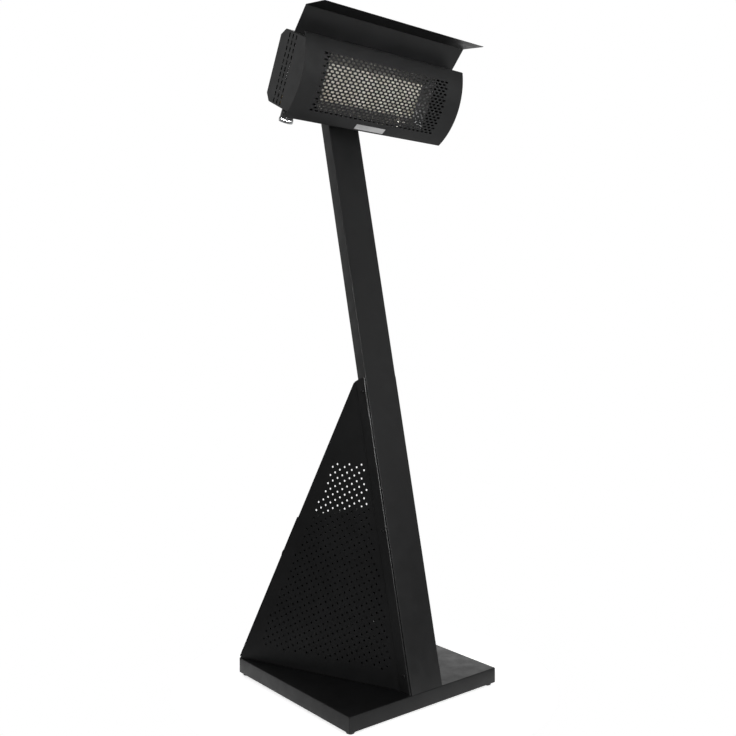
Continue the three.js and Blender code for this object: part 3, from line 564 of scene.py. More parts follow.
class Profile:
    """Folded section: corners with bend radii, measured along the fold."""

    def __init__(self, pts, radii, arc_steps=5):
        self.s, self.p = [0.0], [Vector(pts[0])]
        for i in range(1, len(pts) - 1):
            a, b, c = Vector(pts[i - 1]), Vector(pts[i]), Vector(pts[i + 1])
            u, v = (a - b).normalized(), (c - b).normalized()
            r = radii[i - 1]
            turn = math.pi - u.angle(v)
            if r <= 0 or turn < 1e-3:
                self.add(b)
                continue
            t = r * math.tan(turn / 2)
            centre = b + (u + v).normalized() * (r / math.cos(turn / 2))
            p0, p1 = b + u * t, b + v * t
            d0, d1 = p0 - centre, p1 - centre
            for k in range(arc_steps + 1):
                w = k / arc_steps
                ang = turn * w
                d = (
                    d0 * (math.sin(turn - ang) / math.sin(turn))
                    + d1 * (math.sin(ang) / math.sin(turn))
                )
                self.add(centre + d)
        self.add(Vector(pts[-1]))
        self.length = self.s[-1]

    def add(self, p):
        if (p - self.p[-1]).length < 1e-6:
            return
        self.s.append(self.s[-1] + (p - self.p[-1]).length)
        self.p.append(p)

    def at(self, s):
        for i in range(1, len(self.s)):
            if s <= self.s[i] + 1e-7 or i == len(self.s) - 1:
                w = (s - self.s[i - 1]) / (self.s[i] - self.s[i - 1])
                return self.p[i - 1].lerp(self.p[i], w)

    def s_of(self, p):
        """Length along the fold nearest to a point of the section."""
        best = None
        for i in range(1, len(self.s)):
            a, b = self.p[i - 1], self.p[i]
            w = max(0, min(1, (Vector(p) - a).dot(b - a) / (b - a).length_squared))
            d = (a.lerp(b, w) - Vector(p)).length
            if best is None or d < best[0]:
                best = (d, self.s[i - 1] + w * (self.s[i] - self.s[i - 1]))
        return best[1]


def folded(name, prof, x0, x1, t, place, slot, body, nodes, holes=(), flip=False, cols=()):
    """Sheet folded to a section and run along x, with holes given as (x, s) outlines."""
    outline = [(x0, 0), (x1, 0), (x1, prof.length), (x0, prof.length)]
    lines = [[(x0, s), (x1, s)] for s in prof.s[1:-1]]
    lines += [[(x, 0), (x, prof.length)] for x in cols]
    pts, tris = cdt(outline, holes, lines)
    verts = []
    for x, s in pts:
        q = prof.at(s)
        verts.append(place(x, q[0], q[1]))
    if flip:
        tris = [tuple(reversed(f)) for f in tris]
    ob = make(name, verts, tris, slot, body, nodes)
    return solidified(ob, t)


def lathe(name, profile, centre, axis, seg, slot, body, nodes=(), radius=None, smooth=34.0, mat=None):
    """Turned piece: profile of (radius, height) along axis; radius(r, h, angle) may shape it."""
    axis = Vector(axis).normalized()
    a = axis.orthogonal().normalized()
    b = axis.cross(a)
    verts, faces = [], []
    rows = []
    for r, h in profile:
        if r < 1e-6:
            rows.append([len(verts)])
            verts.append(Vector(centre) + axis * h)
            continue
        row = []
        for i in range(seg):
            t = 2 * math.pi * i / seg
            rr = radius(r, h, t) if radius else r
            row.append(len(verts))
            verts.append(
                Vector(centre) + axis * h + (a * math.cos(t) + b * math.sin(t)) * rr
            )
        rows.append(row)
    for p, q in zip(rows, rows[1:]):
        for i in range(seg):
            j = (i + 1) % seg
            if len(p) == 1 and len(q) == 1:
                continue
            if len(p) == 1:
                faces.append((p[0], q[j], q[i]))
            elif len(q) == 1:
                faces.append((p[i], p[j], q[0]))
            else:
                faces.append((p[i], p[j], q[j], q[i]))
    ob = make(name, verts, faces, slot, body, nodes, smooth, mat)
    recalc(ob)
    return ob


# ------------------------------------------------------------------ base
def box_skin(name, x0, x1, y0, y1, z0, z1, slot, body, nodes, radius, lip, t):
    """Open-bottomed pressed box with rounded folds and a return flange under it."""
    v = [
        (x0, y0, z0), (x1, y0, z0), (x1, y1, z0), (x0, y1, z0),
        (x0, y0, z1), (x1, y0, z1), (x1, y1, z1), (x0, y1, z1),
    ]
    f = [(4, 5, 6, 7), (0, 1, 5, 4), (1, 2, 6, 5), (2, 3, 7, 6), (3, 0, 4, 7)]
    k = len(v)
    v += [
        (x0 + lip, y0 + lip, z0), (x1 - lip, y0 + lip, z0),
        (x1 - lip, y1 - lip, z0), (x0 + lip, y1 - lip, z0),
    ]
    f += [(1, 0, k, k + 1), (2, 1, k + 1, k + 2), (3, 2, k + 2, k + 3), (0, 3, k + 3, k)]
    ob = make(name, v, f, slot, body, nodes, mat=BASE_COAT)
    bm = bmesh.new()
    bm.from_mesh(ob.data)
    es = [
        e
        for e in bm.edges
        if len(e.link_faces) == 2 and e.calc_face_angle(0) > math.radians(40)
    ]
    bmesh.ops.bevel(
        bm, geom=es, offset=radius * MM, segments=4, profile=0.5, affect="EDGES"
    )
    bm.to_mesh(ob.data)
    bm.free()
    return solidified(ob, t)


box_skin(
    "base_tray_sheet", -300, 300, -300, 300, 8.0, BASE_TOP,
    "black_powder_coat", "stand", ["base_tray"], 2.2, 32, 2.5,
)
ob = make(
    "base_tray_sill",
    [(x, y, z) for z in (56.3, 68.4) for x, y in ((-268, 291), (268, 291), (268, 293), (-268, 293))],
    [(0, 1, 5, 4), (1, 2, 6, 5), (2, 3, 7, 6), (3, 0, 4, 7), (4, 5, 6, 7), (3, 2, 1, 0)],
    "black_powder_coat", "stand",
)
bevelled(ob, 0.5, 2)
tidy("ballast_plate", "stand", "black_steel", 1.2)

for n, sx, sy in (
    ("foot_front_left", -1, -1),
    ("foot_front_right", 1, -1),
    ("foot_rear_left", -1, 1),
    ("foot_rear_right", 1, 1),
):
    lathe(
        n + "_glide",
        [(0, 0.0), (9.2, 0.0), (11.0, 0.25), (12.3, 1.1), (13.0, 2.6), (13.0, 6.4), (12.6, 7.2), (11.6, 7.7), (0, 7.7)],
        (sx * 281, sy * 281, 0), (0, 0, 1), 40, "rubber", "stand", [n],
    )

# ------------------------------------------------------------------ post
R_POST = 1.5
prof = []
wx, wd = 62 - R_POST, 40 - R_POST
for cx, cd, a0 in ((wx, R_POST, -90), (wx, wd, 0), (-wx, wd, 90), (-wx, R_POST, 180)):
    for i in range(9):
        a = math.radians(a0 + 90 * i / 8)
        prof.append((cx + R_POST * math.cos(a), cd + R_POST * math.sin(a)))
verts, faces = [], []
n = len(prof)
levels = [None] + [1985.0 * i / 24 for i in range(1, 25)]
for lv in levels:
    for x, d in prof:
        a = (0.3 + d * SB) / CB if lv is None else lv
        verts.append(post(x, d, a))
for k in range(len(levels) - 1):
    for i in range(n):
        j = (i + 1) % n
        faces.append((k * n + i, k * n + j, (k + 1) * n + j, (k + 1) * n + i))
ob = make("post_tube_wall", verts, faces, "black_powder_coat", "stand", ["post_tube"])
solidified(ob, 2.5)
tidy("post_spigot", "stand", "black_steel", 1.0)
tidy("post_top_cap", "stand", "black_plastic", 0.9, 3)
tidy("post_bracket", "stand", "black_powder_coat", 0.5)
for n in ("bracket_bolt_lower", "bracket_bolt_upper"):
    tidy(n, "stand", "stainless_steel", 0.5)
tidy("gas_pipe", "stand", "galvanised_steel", 0)
tidy("inlet_fitting", "stand", "brass", 0.4)
tidy("swivel_body", "stand", "brass", 0.4)

# ------------------------------------------------------------------ side panels
ON = Vector((-64.3, -258.91710336, 56.4))
PH = Vector((-0.38816495, 0.92158991, 0.0))
PU = Vector((0.08345725, 0.0351514, 0.99589119))
PN = Vector((-0.91780328, -0.38657006, 0.0905579))
PLEN, SLOPE, TOPV, BEND = 605.928, 0.4175, 931.5, 0.2150046
NR = Vector((0.0, 0.94354761, 0.33123692))
FLANGE_OUT, FOLD_U, FOLD_TOP, FLANGE_TOP = 66.8, 6.4406, 967.6, 972.0


def panel(h, v, off=0.0):
    return ON + PH * h + PU * v + PN * off


def hv(p):
    d = Vector(p) - ON
    return (d.dot(PH), d.dot(PU))


def fold_rows(e0, e1, n1, n2, m1, r, k=5):
    """Rows of points round a fold from face n1 to face n2 along the edge e0 to e1.
    m1 points from the edge into the first face. Returns the rows, and m2 for the second face."""
    e = (e1 - e0).normalized()
    turn = n1.angle(n2)
    m2 = e.cross(n2)
    if m2.dot(n1) > 0:
        m2 = -m2
    t = r * math.tan(turn / 2)
    rows = []
    for i in range(k + 1):
        w = turn * i / k
        nn = (n1 * math.sin(turn - w) + n2 * math.sin(w)) / math.sin(turn)
        rows.append([p + m1 * t - n1 * r + nn * r for p in (e0, e1)])
    return rows, m2, t


def side_panel(side):
    verts, faces = [], []

    def strip(rows):
        k = len(verts)
        w = len(rows[0])
        for r in rows:
            verts.extend(r)
        for i in range(len(rows) - 1):
            for j in range(w - 1):
                a = k + i * w + j
                faces.append((a, a + 1, a + w + 1, a + w))

    # fold to the flange along the post
    nf = Vector((-1, 0, 0))
    e0 = panel(FOLD_U + BEND * 0.3, 0.3)
    e1 = e0 + EA * (FOLD_TOP - (e0 - P0).dot(EA))
    perp = (PH - EA * PH.dot(EA)).normalized()
    front_rows, _, _ = fold_rows(e0, e1, PN, nf, perp, 4.0, 6)

    def row(x, d, top):
        return [post(x, d, (0.3 + d * SB) / CB), post(x, d, top)]

    # the flange, and its front edge folded back on itself
    rows = [*front_rows, row(-FLANGE_OUT, 28, FLANGE_TOP - 0.5)]
    rh = 2.25
    xc, dc = -FLANGE_OUT + rh, 3.7 + rh
    for i in range(11):
        a = math.pi * i / 10
        top = FLANGE_TOP - 1.0 + 1.0 * math.cos(a)
        rows.append(row(xc - rh * math.cos(a), dc - rh * math.sin(a), top))
    rows.append(row(xc + rh, 31.5, FLANGE_TOP - 2))
    strip(rows)
    # fold to the flange behind, in the plane of the rear opening
    r0, r1 = panel(PLEN - SLOPE * 0.3, 0.3), panel(PLEN - SLOPE * TOPV, TOPV)
    edge = (r1 - r0).normalized()
    mi = (-PH + edge * PH.dot(edge)).normalized()
    rrows, m2r, tr = fold_rows(r0, r1, PN, NR, mi, 2.4, 8)
    q0, q1 = r0 + m2r * 18 + edge * 6, r1 + m2r * 18 - edge * 26
    strip([*rrows, [q0, q1]])
    # fold to the flange on the base, short of both corners
    hb0, hb1 = 20.0, PLEN - 16.0
    s0, s1 = panel(hb0, 0.3), panel(hb1, 0.3)
    brows, m2b, tb = fold_rows(s0, s1, PN, Vector((0, 0, -1)), PU, 2.2, 5)
    strip([*brows, [brows[-1][0] + m2b * 17, brows[-1][1] + m2b * 17 - PH * 14]])
    # the perforated face between the folds
    A = [hv(front_rows[0][0]), hv(front_rows[0][1])]
    R = [hv(rrows[0][0]), hv(rrows[0][1])]
    B = [hv(brows[0][0]), hv(brows[0][1])]
    outline = [
        A[0], (hb0 - 0.4, 0.3), (hb0 - 0.4, B[0][1]), B[0], B[1],
        (hb1 + 0.4, B[1][1]), (hb1 + 0.4, 0.3), R[0], R[1], A[1],
    ]
    ca, sa = math.cos(math.radians(150.5)), math.sin(math.radians(150.5))
    ce, cb = 1 / math.hypot(1, SLOPE), 1 / math.hypot(1, BEND)
    holes = []
    for i in range(-60, 61):
        for j in range(-60, 61):
            u = 310.8 + 19.57 * (i * ca - j * sa)
            v = 596.5 + 19.57 * (i * sa + j * ca)
            if not 55 < v < 676:
                continue
            if (PLEN - SLOPE * v - u) * ce < 46 or (u - BEND * v) * cb < 22:
                continue
            holes.append(ring_pts(u, v, 3.2, 14))
    pts, tris = cdt(outline, holes)
    k = len(verts)
    verts.extend(panel(*p) for p in pts)
    faces.extend(tuple(k + i for i in f) for f in tris)
    name = "side_panel_" + ("left" if side < 0 else "right")
    if side > 0:
        verts = [Vector((-p.x, p.y, p.z)) for p in verts]
    ob = make(
        name + "_sheet", verts, faces, "black_powder_coat", "stand", [name],
        mat=PANEL_COAT,
    )
    bm = bmesh.new()
    bm.from_mesh(ob.data)
    bmesh.ops.recalc_face_normals(bm, faces=bm.faces)
    want = Vector((side * 0.918, -0.3866, 0.0906))
    big = max(bm.faces, key=lambda f: f.calc_area() * abs(f.normal.dot(want)) ** 8)
    if big.normal.dot(want) < 0:
        bmesh.ops.reverse_faces(bm, faces=bm.faces)
    bm.to_mesh(ob.data)
    bm.free()
    solidified(ob, 1.9)
    # the smooth fold at the front edge
    ob.data.materials.append(HEM_COAT)
    for f in ob.data.polygons:
        c = f.center / MM - P0
        if abs(c.x) < 75 and c.dot(ED) < 6.2:
            f.material_index = 1
    return len(holes)


holes_made = [side_panel(-1), side_panel(1)]


def hex_r(af, t):
    return af / 2 / math.cos(((t + math.pi / 6) % (math.pi / 3)) - math.pi / 6)


def button_screw(name, centre, axis, slot, body, nodes):
    """Low socket screw with a wide hexagon."""
    socket = (3.45, 3.3, 3.25)
    prof = [
        (7.0, 0.0), (7.0, 0.9), (6.8, 1.7), (6.2, 2.6), (5.3, 3.3), (4.3, 3.7),
        (socket[0], 3.75), (socket[1], 3.4), (socket[2], 1.0), (0, 0.8),
    ]

    def radius(r, h, t):
        if r in socket:
            return hex_r(2 * r * 0.93, t)
        return r

    return lathe(name, prof, centre, axis, 36, slot, body, nodes, radius, 30, SCREW_COAT)


for where in ("top", "middle", "bottom"):
    for side, s in (("left", -1), ("right", 1)):
        node = f"panel_screw_{side}_{where}"
        lo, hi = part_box(node)
        c = (lo + hi) / 2 / MM
        c.x = s * (FLANGE_OUT + 0.3)
        button_screw(node + "_head", c, (s, 0, 0), "black_steel", "stand", [node])

# ------------------------------------------------------------------ rear door and its fittings
tidy("rear_door", "rear door", "black_powder_coat", 0.5)
tidy("door_handle", "rear door", "black_steel", 0)
for n in ("door_hinge_lower", "door_hinge_upper"):
    tidy(n, "stand", "black_powder_coat", 0.3)
for n in ("magnet_catch_lower", "magnet_catch_upper"):
    tidy(n, "stand", "black_plastic", 0.8, 3)

# ------------------------------------------------------------------ head: front cover
R_COVER, SAG, PITCH_X, PITCH_S = 223.0, 37.0, 18.8, 9.67
BEND_R = 2.5
A1 = math.asin((R_COVER * math.sin(math.radians(34.2)) - BEND_R) / (R_COVER - BEND_R))
S1 = R_COVER * A1
FILLET = BEND_R * (math.pi / 2 - A1)


def cover_at(s):
    sg = 1 if s >= 0 else -1
    q = abs(s)
    cy, cz = R_COVER - SAG, 0.0
    if q <= S1:
        a = q / R_COVER
        return cy - R_COVER * math.cos(a), sg * R_COVER * math.sin(a)
    fy = cy - (R_COVER - BEND_R) * math.cos(A1)
    fz = (R_COVER - BEND_R) * math.sin(A1)
    if q <= S1 + FILLET:
        ph = A1 + (q - S1) / BEND_R
        return fy - BEND_R * math.cos(ph), sg * (fz + BEND_R * math.sin(ph))
    return fy + (q - S1 - FILLET), sg * (fz + BEND_R)


def front_cover():
    verts, faces = [], []
    half = PITCH_X / 2
    cell_out = [
        (-half, -PITCH_S / 2), (0, -PITCH_S / 2), (half, -PITCH_S / 2), (half, 0),
        (half, PITCH_S / 2), (0, PITCH_S / 2), (-half, PITCH_S / 2), (-half, 0),
    ]
    slot = obround(0, 0, 13.0, 6.2, 8)
    cpts, ctris = cdt(cell_out, [slot])

    def add(pts, tris):
        k = len(verts)
        for x, s in pts:
            y, z = cover_at(s)
            verts.append(head(x, y, z))
        faces.extend(tuple(k + i for i in f) for f in tris)

    def quad(xs, ss):
        for s0, s1 in zip(ss, ss[1:]):
            for x0, x1 in zip(xs, xs[1:]):
                add([(x0, s0), (x1, s0), (x1, s1), (x0, s1)], [(0, 1, 2, 3)])

    edge_x = 13.5 * PITCH_X
    inner = [i * half for i in range(-27, 28)]
    side_l = [-319.4, -308, -294, -280, -266, -edge_x]
    side_r = [-x for x in reversed(side_l)]
    for j in range(-9, 10):
        s = j * PITCH_S
        ss = [s - PITCH_S / 2, s, s + PITCH_S / 2]
        quad(side_l, ss)
        quad(side_r, ss)
        if j % 2:
            xs = [i * PITCH_X for i in range(-13, 14)]
        else:
            xs = [(i + 0.5) * PITCH_X for i in range(-13, 13)]
            quad([-edge_x, -edge_x + half], ss)
            quad([edge_x - half, edge_x], ss)
        for x in xs:
            add([(x + a, s + b) for a, b in cpts], ctris)
    s_in = 9.5 * PITCH_S
    steps = [s_in + (S1 - s_in) * i / 6 for i in range(7)]
    steps += [S1 + FILLET * i / 4 for i in range(1, 5)]
    steps += [S1 + FILLET + 5.0]
    xs = side_l + inner[1:-1] + side_r
    quad(xs, steps)
    quad(xs, [-s for s in reversed(steps)])
    ob = make(
        "front_cover_sheet", verts, faces, "head_powder_coat", "head", ["front_cover"]
    )
    bm = bmesh.new()
    bm.from_mesh(ob.data)
    bmesh.ops.recalc_face_normals(bm, faces=bm.faces)
    f = max(bm.faces, key=lambda f: f.calc_area())
    if f.normal.dot(f.calc_center_median() - to_mm(head(0, 60, 0))) < 0:
        bmesh.ops.reverse_faces(bm, faces=bm.faces)
    bm.to_mesh(ob.data)
    bm.free()
    solidified(ob, 1.4)


front_cover()

# ------------------------------------------------------------------ head: hood, casing, end caps
hood = Profile([(85.5, 110.3), (58.4, 110.3), (33.7, 194.7), (-54.6, 223.2)], [2.0, 2.5], 6)
folded(
    "hood_sheet", hood, -319.4, 319.4, 1.5,
    lambda x, y, z: head(x, y, z), "head_powder_coat", "head", ["hood"], flip=False,
)
casing = Profile(
    [
        (1.2, 119), (1.2, 110), (106, 110), (126, 90), (126, -85), (106, -105),
        (1.2, -105), (1.2, -119),
    ],
    [1.2, 3, 3, 3, 3, 1.2],
    5,
)
vents = []
for i in range(13):
    sv = casing.s_of((22, 110))
    vents.append(obround(-270 + i * 45, sv, 30, 8, 6))
sk = casing.s_of((30, -105))
vents.append(ring_pts(-290, sk, 12, 28))
sf = casing.s_of((126, -30))
vents.append(ring_pts(-18, sf, 8, 24))
folded(
    "rear_casing_sheet", casing, -317.6, 317.6, 1.4,
    lambda x, y, z: head(x, y, z), "head_powder_coat", "head", ["rear_casing"], vents,
    flip=True,
)


def end_cap(side):
    t = 1.5
    out = []
    zt, zb, rr = 110.0, -105.0, R_COVER - 1.8
    for i in range(29):
        z = zb + (zt - zb) * i / 28
        out.append((R_COVER - SAG - math.sqrt(rr * rr - z * z), z))
    out += [(106, zt), (126, zt - 20), (126, zb + 20), (106, zb)]
    slots = []
    for y in (40, 59, 78):
        for i in range(11):
            slots.append(obround(y, 99 - 19.3 * i, 14.5, 6.5, 6, True))
    pts, tris = cdt(out, slots)
    x = side * 319.4
    verts = [head(x, y, z) for y, z in pts]
    name = "end_cap_" + ("left" if side < 0 else "right")
    ob = make(name + "_plate", verts, tris, "head_powder_coat", "head", [name])
    bm = bmesh.new()
    bm.from_mesh(ob.data)
    bmesh.ops.recalc_face_normals(bm, faces=bm.faces)
    f = next(iter(bm.faces))
    if f.normal.x * side < 0:
        bmesh.ops.reverse_faces(bm, faces=bm.faces)
    bm.to_mesh(ob.data)
    bm.free()
    solidified(ob, t)
    # turned-in rim
    k = 1.9
    inner = []
    c = Vector((60, 2))
    n = len(out)
    for i in range(n):
        a, b, d = Vector(out[i - 1]), Vector(out[i]), Vector(out[(i + 1) % n])
        n1 = Vector((-(b - a).y, (b - a).x)).normalized()
        n2 = Vector((-(d - b).y, (d - b).x)).normalized()
        if n1.dot(c - b) < 0:
            n1 = -n1
        if n2.dot(c - b) < 0:
            n2 = -n2
        s = n1 + n2
        s = s * (2 / s.length_squared)
        inner.append(b + s * k)
    verts, faces = [], []
    for off in (1.0, 14.0):
        for p in inner:
            verts.append(head(side * (319.4 - off), p.x, p.y))
    for i in range(n):
        j = (i + 1) % n
        faces.append((i, j, n + j, n + i))
    ob = make(name + "_rim", verts, faces, "head_powder_coat", "head")
    bm = bmesh.new()
    bm.from_mesh(ob.data)
    bmesh.ops.recalc_face_normals(bm, faces=bm.faces)
    f = next(iter(bm.faces))
    if f.normal.dot(f.calc_center_median() - to_mm(head(side * 312, 60, 2))) < 0:
        bmesh.ops.reverse_faces(bm, faces=bm.faces)
    bm.to_mesh(ob.data)
    bm.free()
    solidified(ob, 1.2)


end_cap(-1)
end_cap(1)

# bare name plate with rolled corners
def name_plate():
    pts = []
    w, hgt, r = 59, 10.3, 2.2
    for cx, cz, a0 in ((w - r, -hgt + r, -90), (w - r, hgt - r, 0), (-w + r, hgt - r, 90), (-w + r, -hgt + r, 180)):
        for i in range(5):
            a = math.radians(a0 + 22.5 * i)
            pts.append((cx + r * math.cos(a), cz + r * math.sin(a)))
    a = math.radians(-29.8)
    nrm = Vector((0, -math.cos(a), math.sin(a)))
    tan = Vector((0, math.sin(a), math.cos(a)))
    c = Vector((1, R_COVER - SAG, 0)) + nrm * (R_COVER + 0.3)

    def at(x, t, o):
        q = c + EX * x + tan * t + nrm * o
        return head(q.x, q.y, q.z)

    verts = [at(x, t, 0) for x, t in pts] + [at(x, t, 0.9) for x, t in pts]
    n = len(pts)
    faces = [tuple(range(n))[::-1], tuple(range(n, 2 * n))]
    faces += [(i, (i + 1) % n, n + (i + 1) % n, n + i) for i in range(n)]
    ob = make("name_plate_blank", verts, faces, "aluminium", "head", ["name_plate"])
    recalc(ob)
    bevelled(ob, 0.3, 2)


name_plate()

# ------------------------------------------------------------------ head: burner and what shows through the slots
def tile(i):
    """Plaque with a shallow waffle pressed into its face."""
    node = f"ceramic_tile_{i}"
    xc = (i - 2.5) * 94
    nx, nz = 14, 20
    w, hgt = 92.5, 130.0
    verts, faces = [], []
    y0, y1, ch = 25.2, 38.2, 0.9
    idx = {}
    for a in range(2 * nx + 1):
        for b in range(2 * nz + 1):
            x = -w / 2 + ch + (w - 2 * ch) * a / (2 * nx)
            z = -hgt / 2 + ch + (hgt - 2 * ch) * b / (2 * nz)
            dip = 1.3 if a % 2 and b % 2 else 0.0
            idx[a, b] = len(verts)
            verts.append(head(xc + x, y0 + dip, z))
    for a in range(2 * nx):
        for b in range(2 * nz):
            q = [idx[a, b], idx[a + 1, b], idx[a + 1, b + 1], idx[a, b + 1]]
            if (a + b) % 2:
                faces += [(q[0], q[1], q[3]), (q[1], q[2], q[3])]
            else:
                faces += [(q[0], q[1], q[2]), (q[0], q[2], q[3])]
    rim = (
        [idx[a, 0] for a in range(2 * nx + 1)]
        + [idx[2 * nx, b] for b in range(1, 2 * nz + 1)]
        + [idx[a, 2 * nz] for a in range(2 * nx - 1, -1, -1)]
        + [idx[0, b] for b in range(2 * nz - 1, 0, -1)]
    )
    n = len(rim)
    rows = [rim]
    for y, grow in ((y0 + ch, ch), (y1 - 0.5, ch), (y1, ch - 0.5)):
        row = []
        for k in rim:
            p = verts[k] - HEAD_POS
            x, z = p.x - xc, p.dot(HZ)
            sx = x * (w / 2 - ch + grow) / (w / 2 - ch)
            sz = z * (hgt / 2 - ch + grow) / (hgt / 2 - ch)
            row.append(len(verts))
            verts.append(head(xc + sx, y, sz))
        rows.append(row)
    for p, q in zip(rows, rows[1:]):
        faces += [(p[k], p[(k + 1) % n], q[(k + 1) % n], q[k]) for k in range(n)]
    faces.append(tuple(rows[-1]))
    ob = make(node + "_face", verts, faces, "ceramic", "head", [node], 25)
    recalc(ob)


for i in (1, 2, 3, 4):
    tile(i)
refl = tidy("reflector", "head", "stainless_steel", 0.3)
# painted shade: the reflector's end wall away from the valve is given black steel so that it reads as dark as a shaded
# wall, while the other walls stay stainless
refl.data.materials.append(M["black_steel"])
for f in refl.data.polygons:
    if f.center.x > 0.184 and abs(f.normal.x) > 0.4:
        f.material_index = 1
tidy("end_liner_right", "head", "black_steel", 0.2)
tidy("burner_plenum", "head", "galvanised_steel", 0.4)
tidy("heat_shield", "head", "galvanised_steel", 0.3)
tidy("mixing_tube", "head", "galvanised_steel", 0.2)
tidy("injector", "head", "brass", 0.4)
tidy("gas_valve", "head", "brass", 0.8)
tidy("head_gas_tube", "head", "aluminium", 0)
tidy("injector_tube", "head", "aluminium", 0)
tidy("igniter_electrode", "head", "ceramic", 0)
tidy("thermocouple_probe", "head", "stainless_steel", 0)
tidy("head_bracket", "head", "head_powder_coat", 0.4)
for n in ("tilt_clamp_left", "tilt_clamp_right"):
    tidy(n, n.split("_")[2] + " tilt clamp", "black_plastic", 1.2, 3)

# ------------------------------------------------------------------ gas knob
KX, KY = -290.0, 30.0
kdown = -HZ


def kpt(z):
    return head(KX, KY, z)


lathe(
    "knob_bezel_ring",
    [(12.2, 0.3), (13.4, 0), (15.0, 0.0), (15.4, 0.4), (15.4, 3.0), (15.0, 3.9), (14.2, 4.4), (12.6, 4.5), (10.6, 4.5), (10.2, 4.1), (10.2, 1.4), (10.8, 0.9), (12.2, 0.3)],
    kpt(-105.3), kdown, 48, "aluminium", "head", ["knob_bezel"],
)
tidy("valve_stem", "valve stem", "stainless_steel", 0.4)


def grip(r, h, t):
    if 1.5 < h < 21.5 and r > 17:
        return r - 0.55 * (0.5 + 0.5 * math.cos(18 * t)) ** 2
    return r


lathe(
    "control_knob_body",
    [
        (4.3, 7), (16.4, 7), (16.4, 0.4), (16.8, 0), (19.0, 0), (19.7, 0.4), (20.0, 1.2), (20.1, 2.0),
        (20.5, 20.5), (20.5, 21.4), (20.0, 22), (14, 22), (14, 32), (13.6, 33.8), (12.4, 34.9), (10.5, 35.2),
        (0, 35.4),
    ],
    kpt(-111), kdown, 180, "black_plastic", "gas knob", ["control_knob"], grip,
)


def knurl(r, h, t):
    if r > 20:
        return r - 0.75 * (0.5 + 0.5 * math.cos(45 * t))
    return r


lathe(
    "knob_ring_knurled",
    [(14.5, 0.4), (15.0, 0), (21.0, 0), (21.9, 0.4), (22.4, 1.2), (22.4, 10.8), (21.9, 11.6), (21.0, 12), (15.0, 12), (14.5, 11.6), (14.5, 0.4)],
    kpt(-133.3), kdown, 360, "chrome", "gas knob", ["knob_ring"], knurl,
)

# ------------------------------------------------------------------ floor, light
def plain(name, col, rough):
    mat = bpy.data.materials.new(name)
    nt, b = node_tree(mat)
    c = coords(nt)
    nt.links.new(
        ramp(nt, noise(nt, c, 1.5, 2.0), [(0.3, tuple(v * 0.995 for v in col)), (0.7, col)]),
        b.inputs["Base Color"],
    )
    b.inputs["Roughness"].default_value = rough
    b.inputs["Specular IOR Level"].default_value = 0.1
    b.inputs["Emission Color"].default_value = (1, 1, 1, 1)
    b.inputs["Emission Strength"].default_value = 0.68
    return mat


me = bpy.data.meshes.new("floor")
S = 0.62
me.from_pydata(
    [(0, 0, 0)]
    + [(S * math.cos(2 * math.pi * i / 96), S * math.sin(2 * math.pi * i / 96), 0) for i in range(96)],
    [],
    [(0, 1 + i, 1 + (i + 1) % 96) for i in range(96)],
)
floor = bpy.data.objects.new("floor", me)
scene.collection.objects.link(floor)
me.materials.append(plain("studio_floor", (0.85, 0.85, 0.85), 0.8))
floor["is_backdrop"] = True

world = bpy.data.worlds.new("studio")
scene.world = world
world.use_nodes = True
wt = world.node_tree
wt.nodes.clear()
wo = wt.nodes.new("ShaderNodeOutputWorld")
seen = wt.nodes.new("ShaderNodeBackground")
seen.inputs["Color"].default_value = (1, 1, 1, 1)
seen.inputs["Strength"].default_value = 1.0
lit = wt.nodes.new("ShaderNodeBackground")
lit.inputs["Strength"].default_value = 1.0
tc = wt.nodes.new("ShaderNodeTexCoord")
sp = wt.nodes.new("ShaderNodeSeparateXYZ")
wt.links.new(tc.outputs["Generated"], sp.inputs[0])


def slope(sock, a, b, lo, hi):
    n = wt.nodes.new("ShaderNodeMapRange")
    n.interpolation_type = "SMOOTHSTEP"
    n.inputs["From Min"].default_value = a
    n.inputs["From Max"].default_value = b
    n.inputs["To Min"].default_value = lo
    n.inputs["To Max"].default_value = hi
    wt.links.new(sp.outputs[sock], n.inputs["Value"])
    return n.outputs[0]


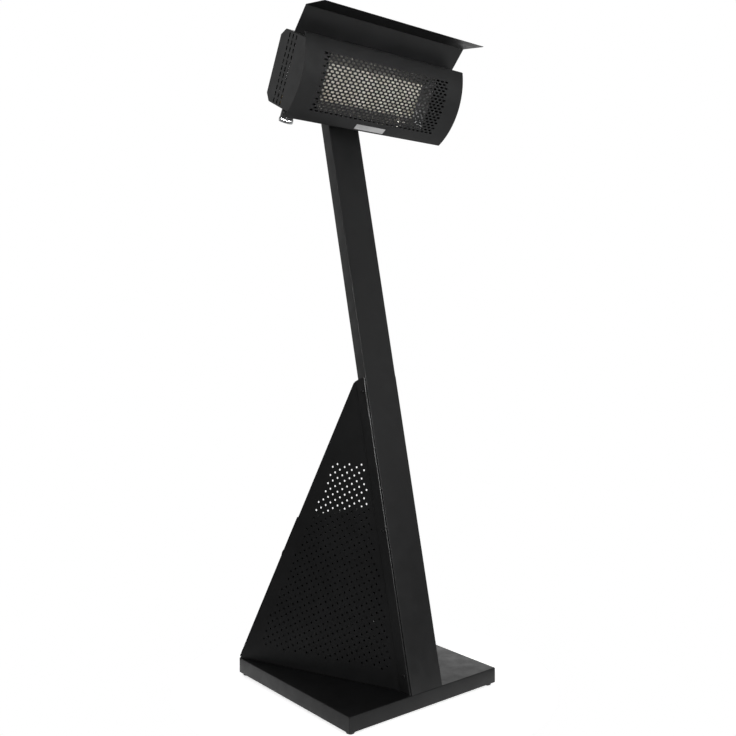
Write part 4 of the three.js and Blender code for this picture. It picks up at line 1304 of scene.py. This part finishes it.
def times(*socks):
    out = socks[0]
    for v in socks[1:]:
        out = mathn(wt, "MULTIPLY", out, v)
    return out


behind = times(
    slope("Y", 0.15, 0.65, 0.0, 0.62),
    slope("X", -0.2, 0.5, 0.8, 1.75),
    slope("Z", -0.25, -0.02, 0.0, 1.0),
)
glow = times(
    slope("X", -0.2, -0.5, 0.0, 0.70),
    slope("Y", 0.45, 0.75, 0.0, 1.0),
    slope("Z", -0.20, -0.06, 0.0, 1.0),
    slope("Z", 0.14, 0.0, 0.0, 1.0),
)
beside = times(slope("X", -0.1, 0.7, 0.0, 0.20), slope("Z", -0.35, 0.02, 0.5, 1.0))
below = times(slope("X", 0.2, 0.7, 0.0, 0.35), slope("Z", -0.1, -0.5, 0.0, 1.0))
sky = mathn(wt, "ADD", mathn(wt, "ADD", behind, beside), mathn(wt, "ADD", below, glow))
sky = mathn(wt, "ADD", sky, 0.05)
wt.links.new(sky, lit.inputs["Color"])
lp = wt.nodes.new("ShaderNodeLightPath")
mx = wt.nodes.new("ShaderNodeMixShader")
wt.links.new(lp.outputs["Is Camera Ray"], mx.inputs[0])
wt.links.new(lit.outputs[0], mx.inputs[1])
wt.links.new(seen.outputs[0], mx.inputs[2])
wt.links.new(mx.outputs[0], wo.inputs[0])


def area(name, loc, target, size, power, size_y=None, spread=180.0):
    d = bpy.data.lights.new(name, "AREA")
    d.energy = power
    d.shape = "RECTANGLE"
    d.size = size
    d.size_y = size_y or size
    d.spread = math.radians(spread)
    o = bpy.data.objects.new(name, d)
    o.location = loc
    o.rotation_euler = (Vector(target) - Vector(loc)).to_track_quat("-Z", "Y").to_euler()
    scene.collection.objects.link(o)
    return o


area("softbox_right", (2.3, -2.35, 1.95), (0, -0.2, 1.0), 0.9, 3.0, 1.3)
area("key_front", (-0.5, -3.6, 1.5), (0, -0.1, 1.9), 0.9, 60)
area("key_head", (-2.2, -2.75, 1.0), (0.02, -0.12, 1.9), 0.5, 3.0, spread=24)
area("edge_left", (-2.9, -2.6, 2.2), (0, -0.1, 1.0), 0.6, 10, spread=60)

lo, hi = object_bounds()
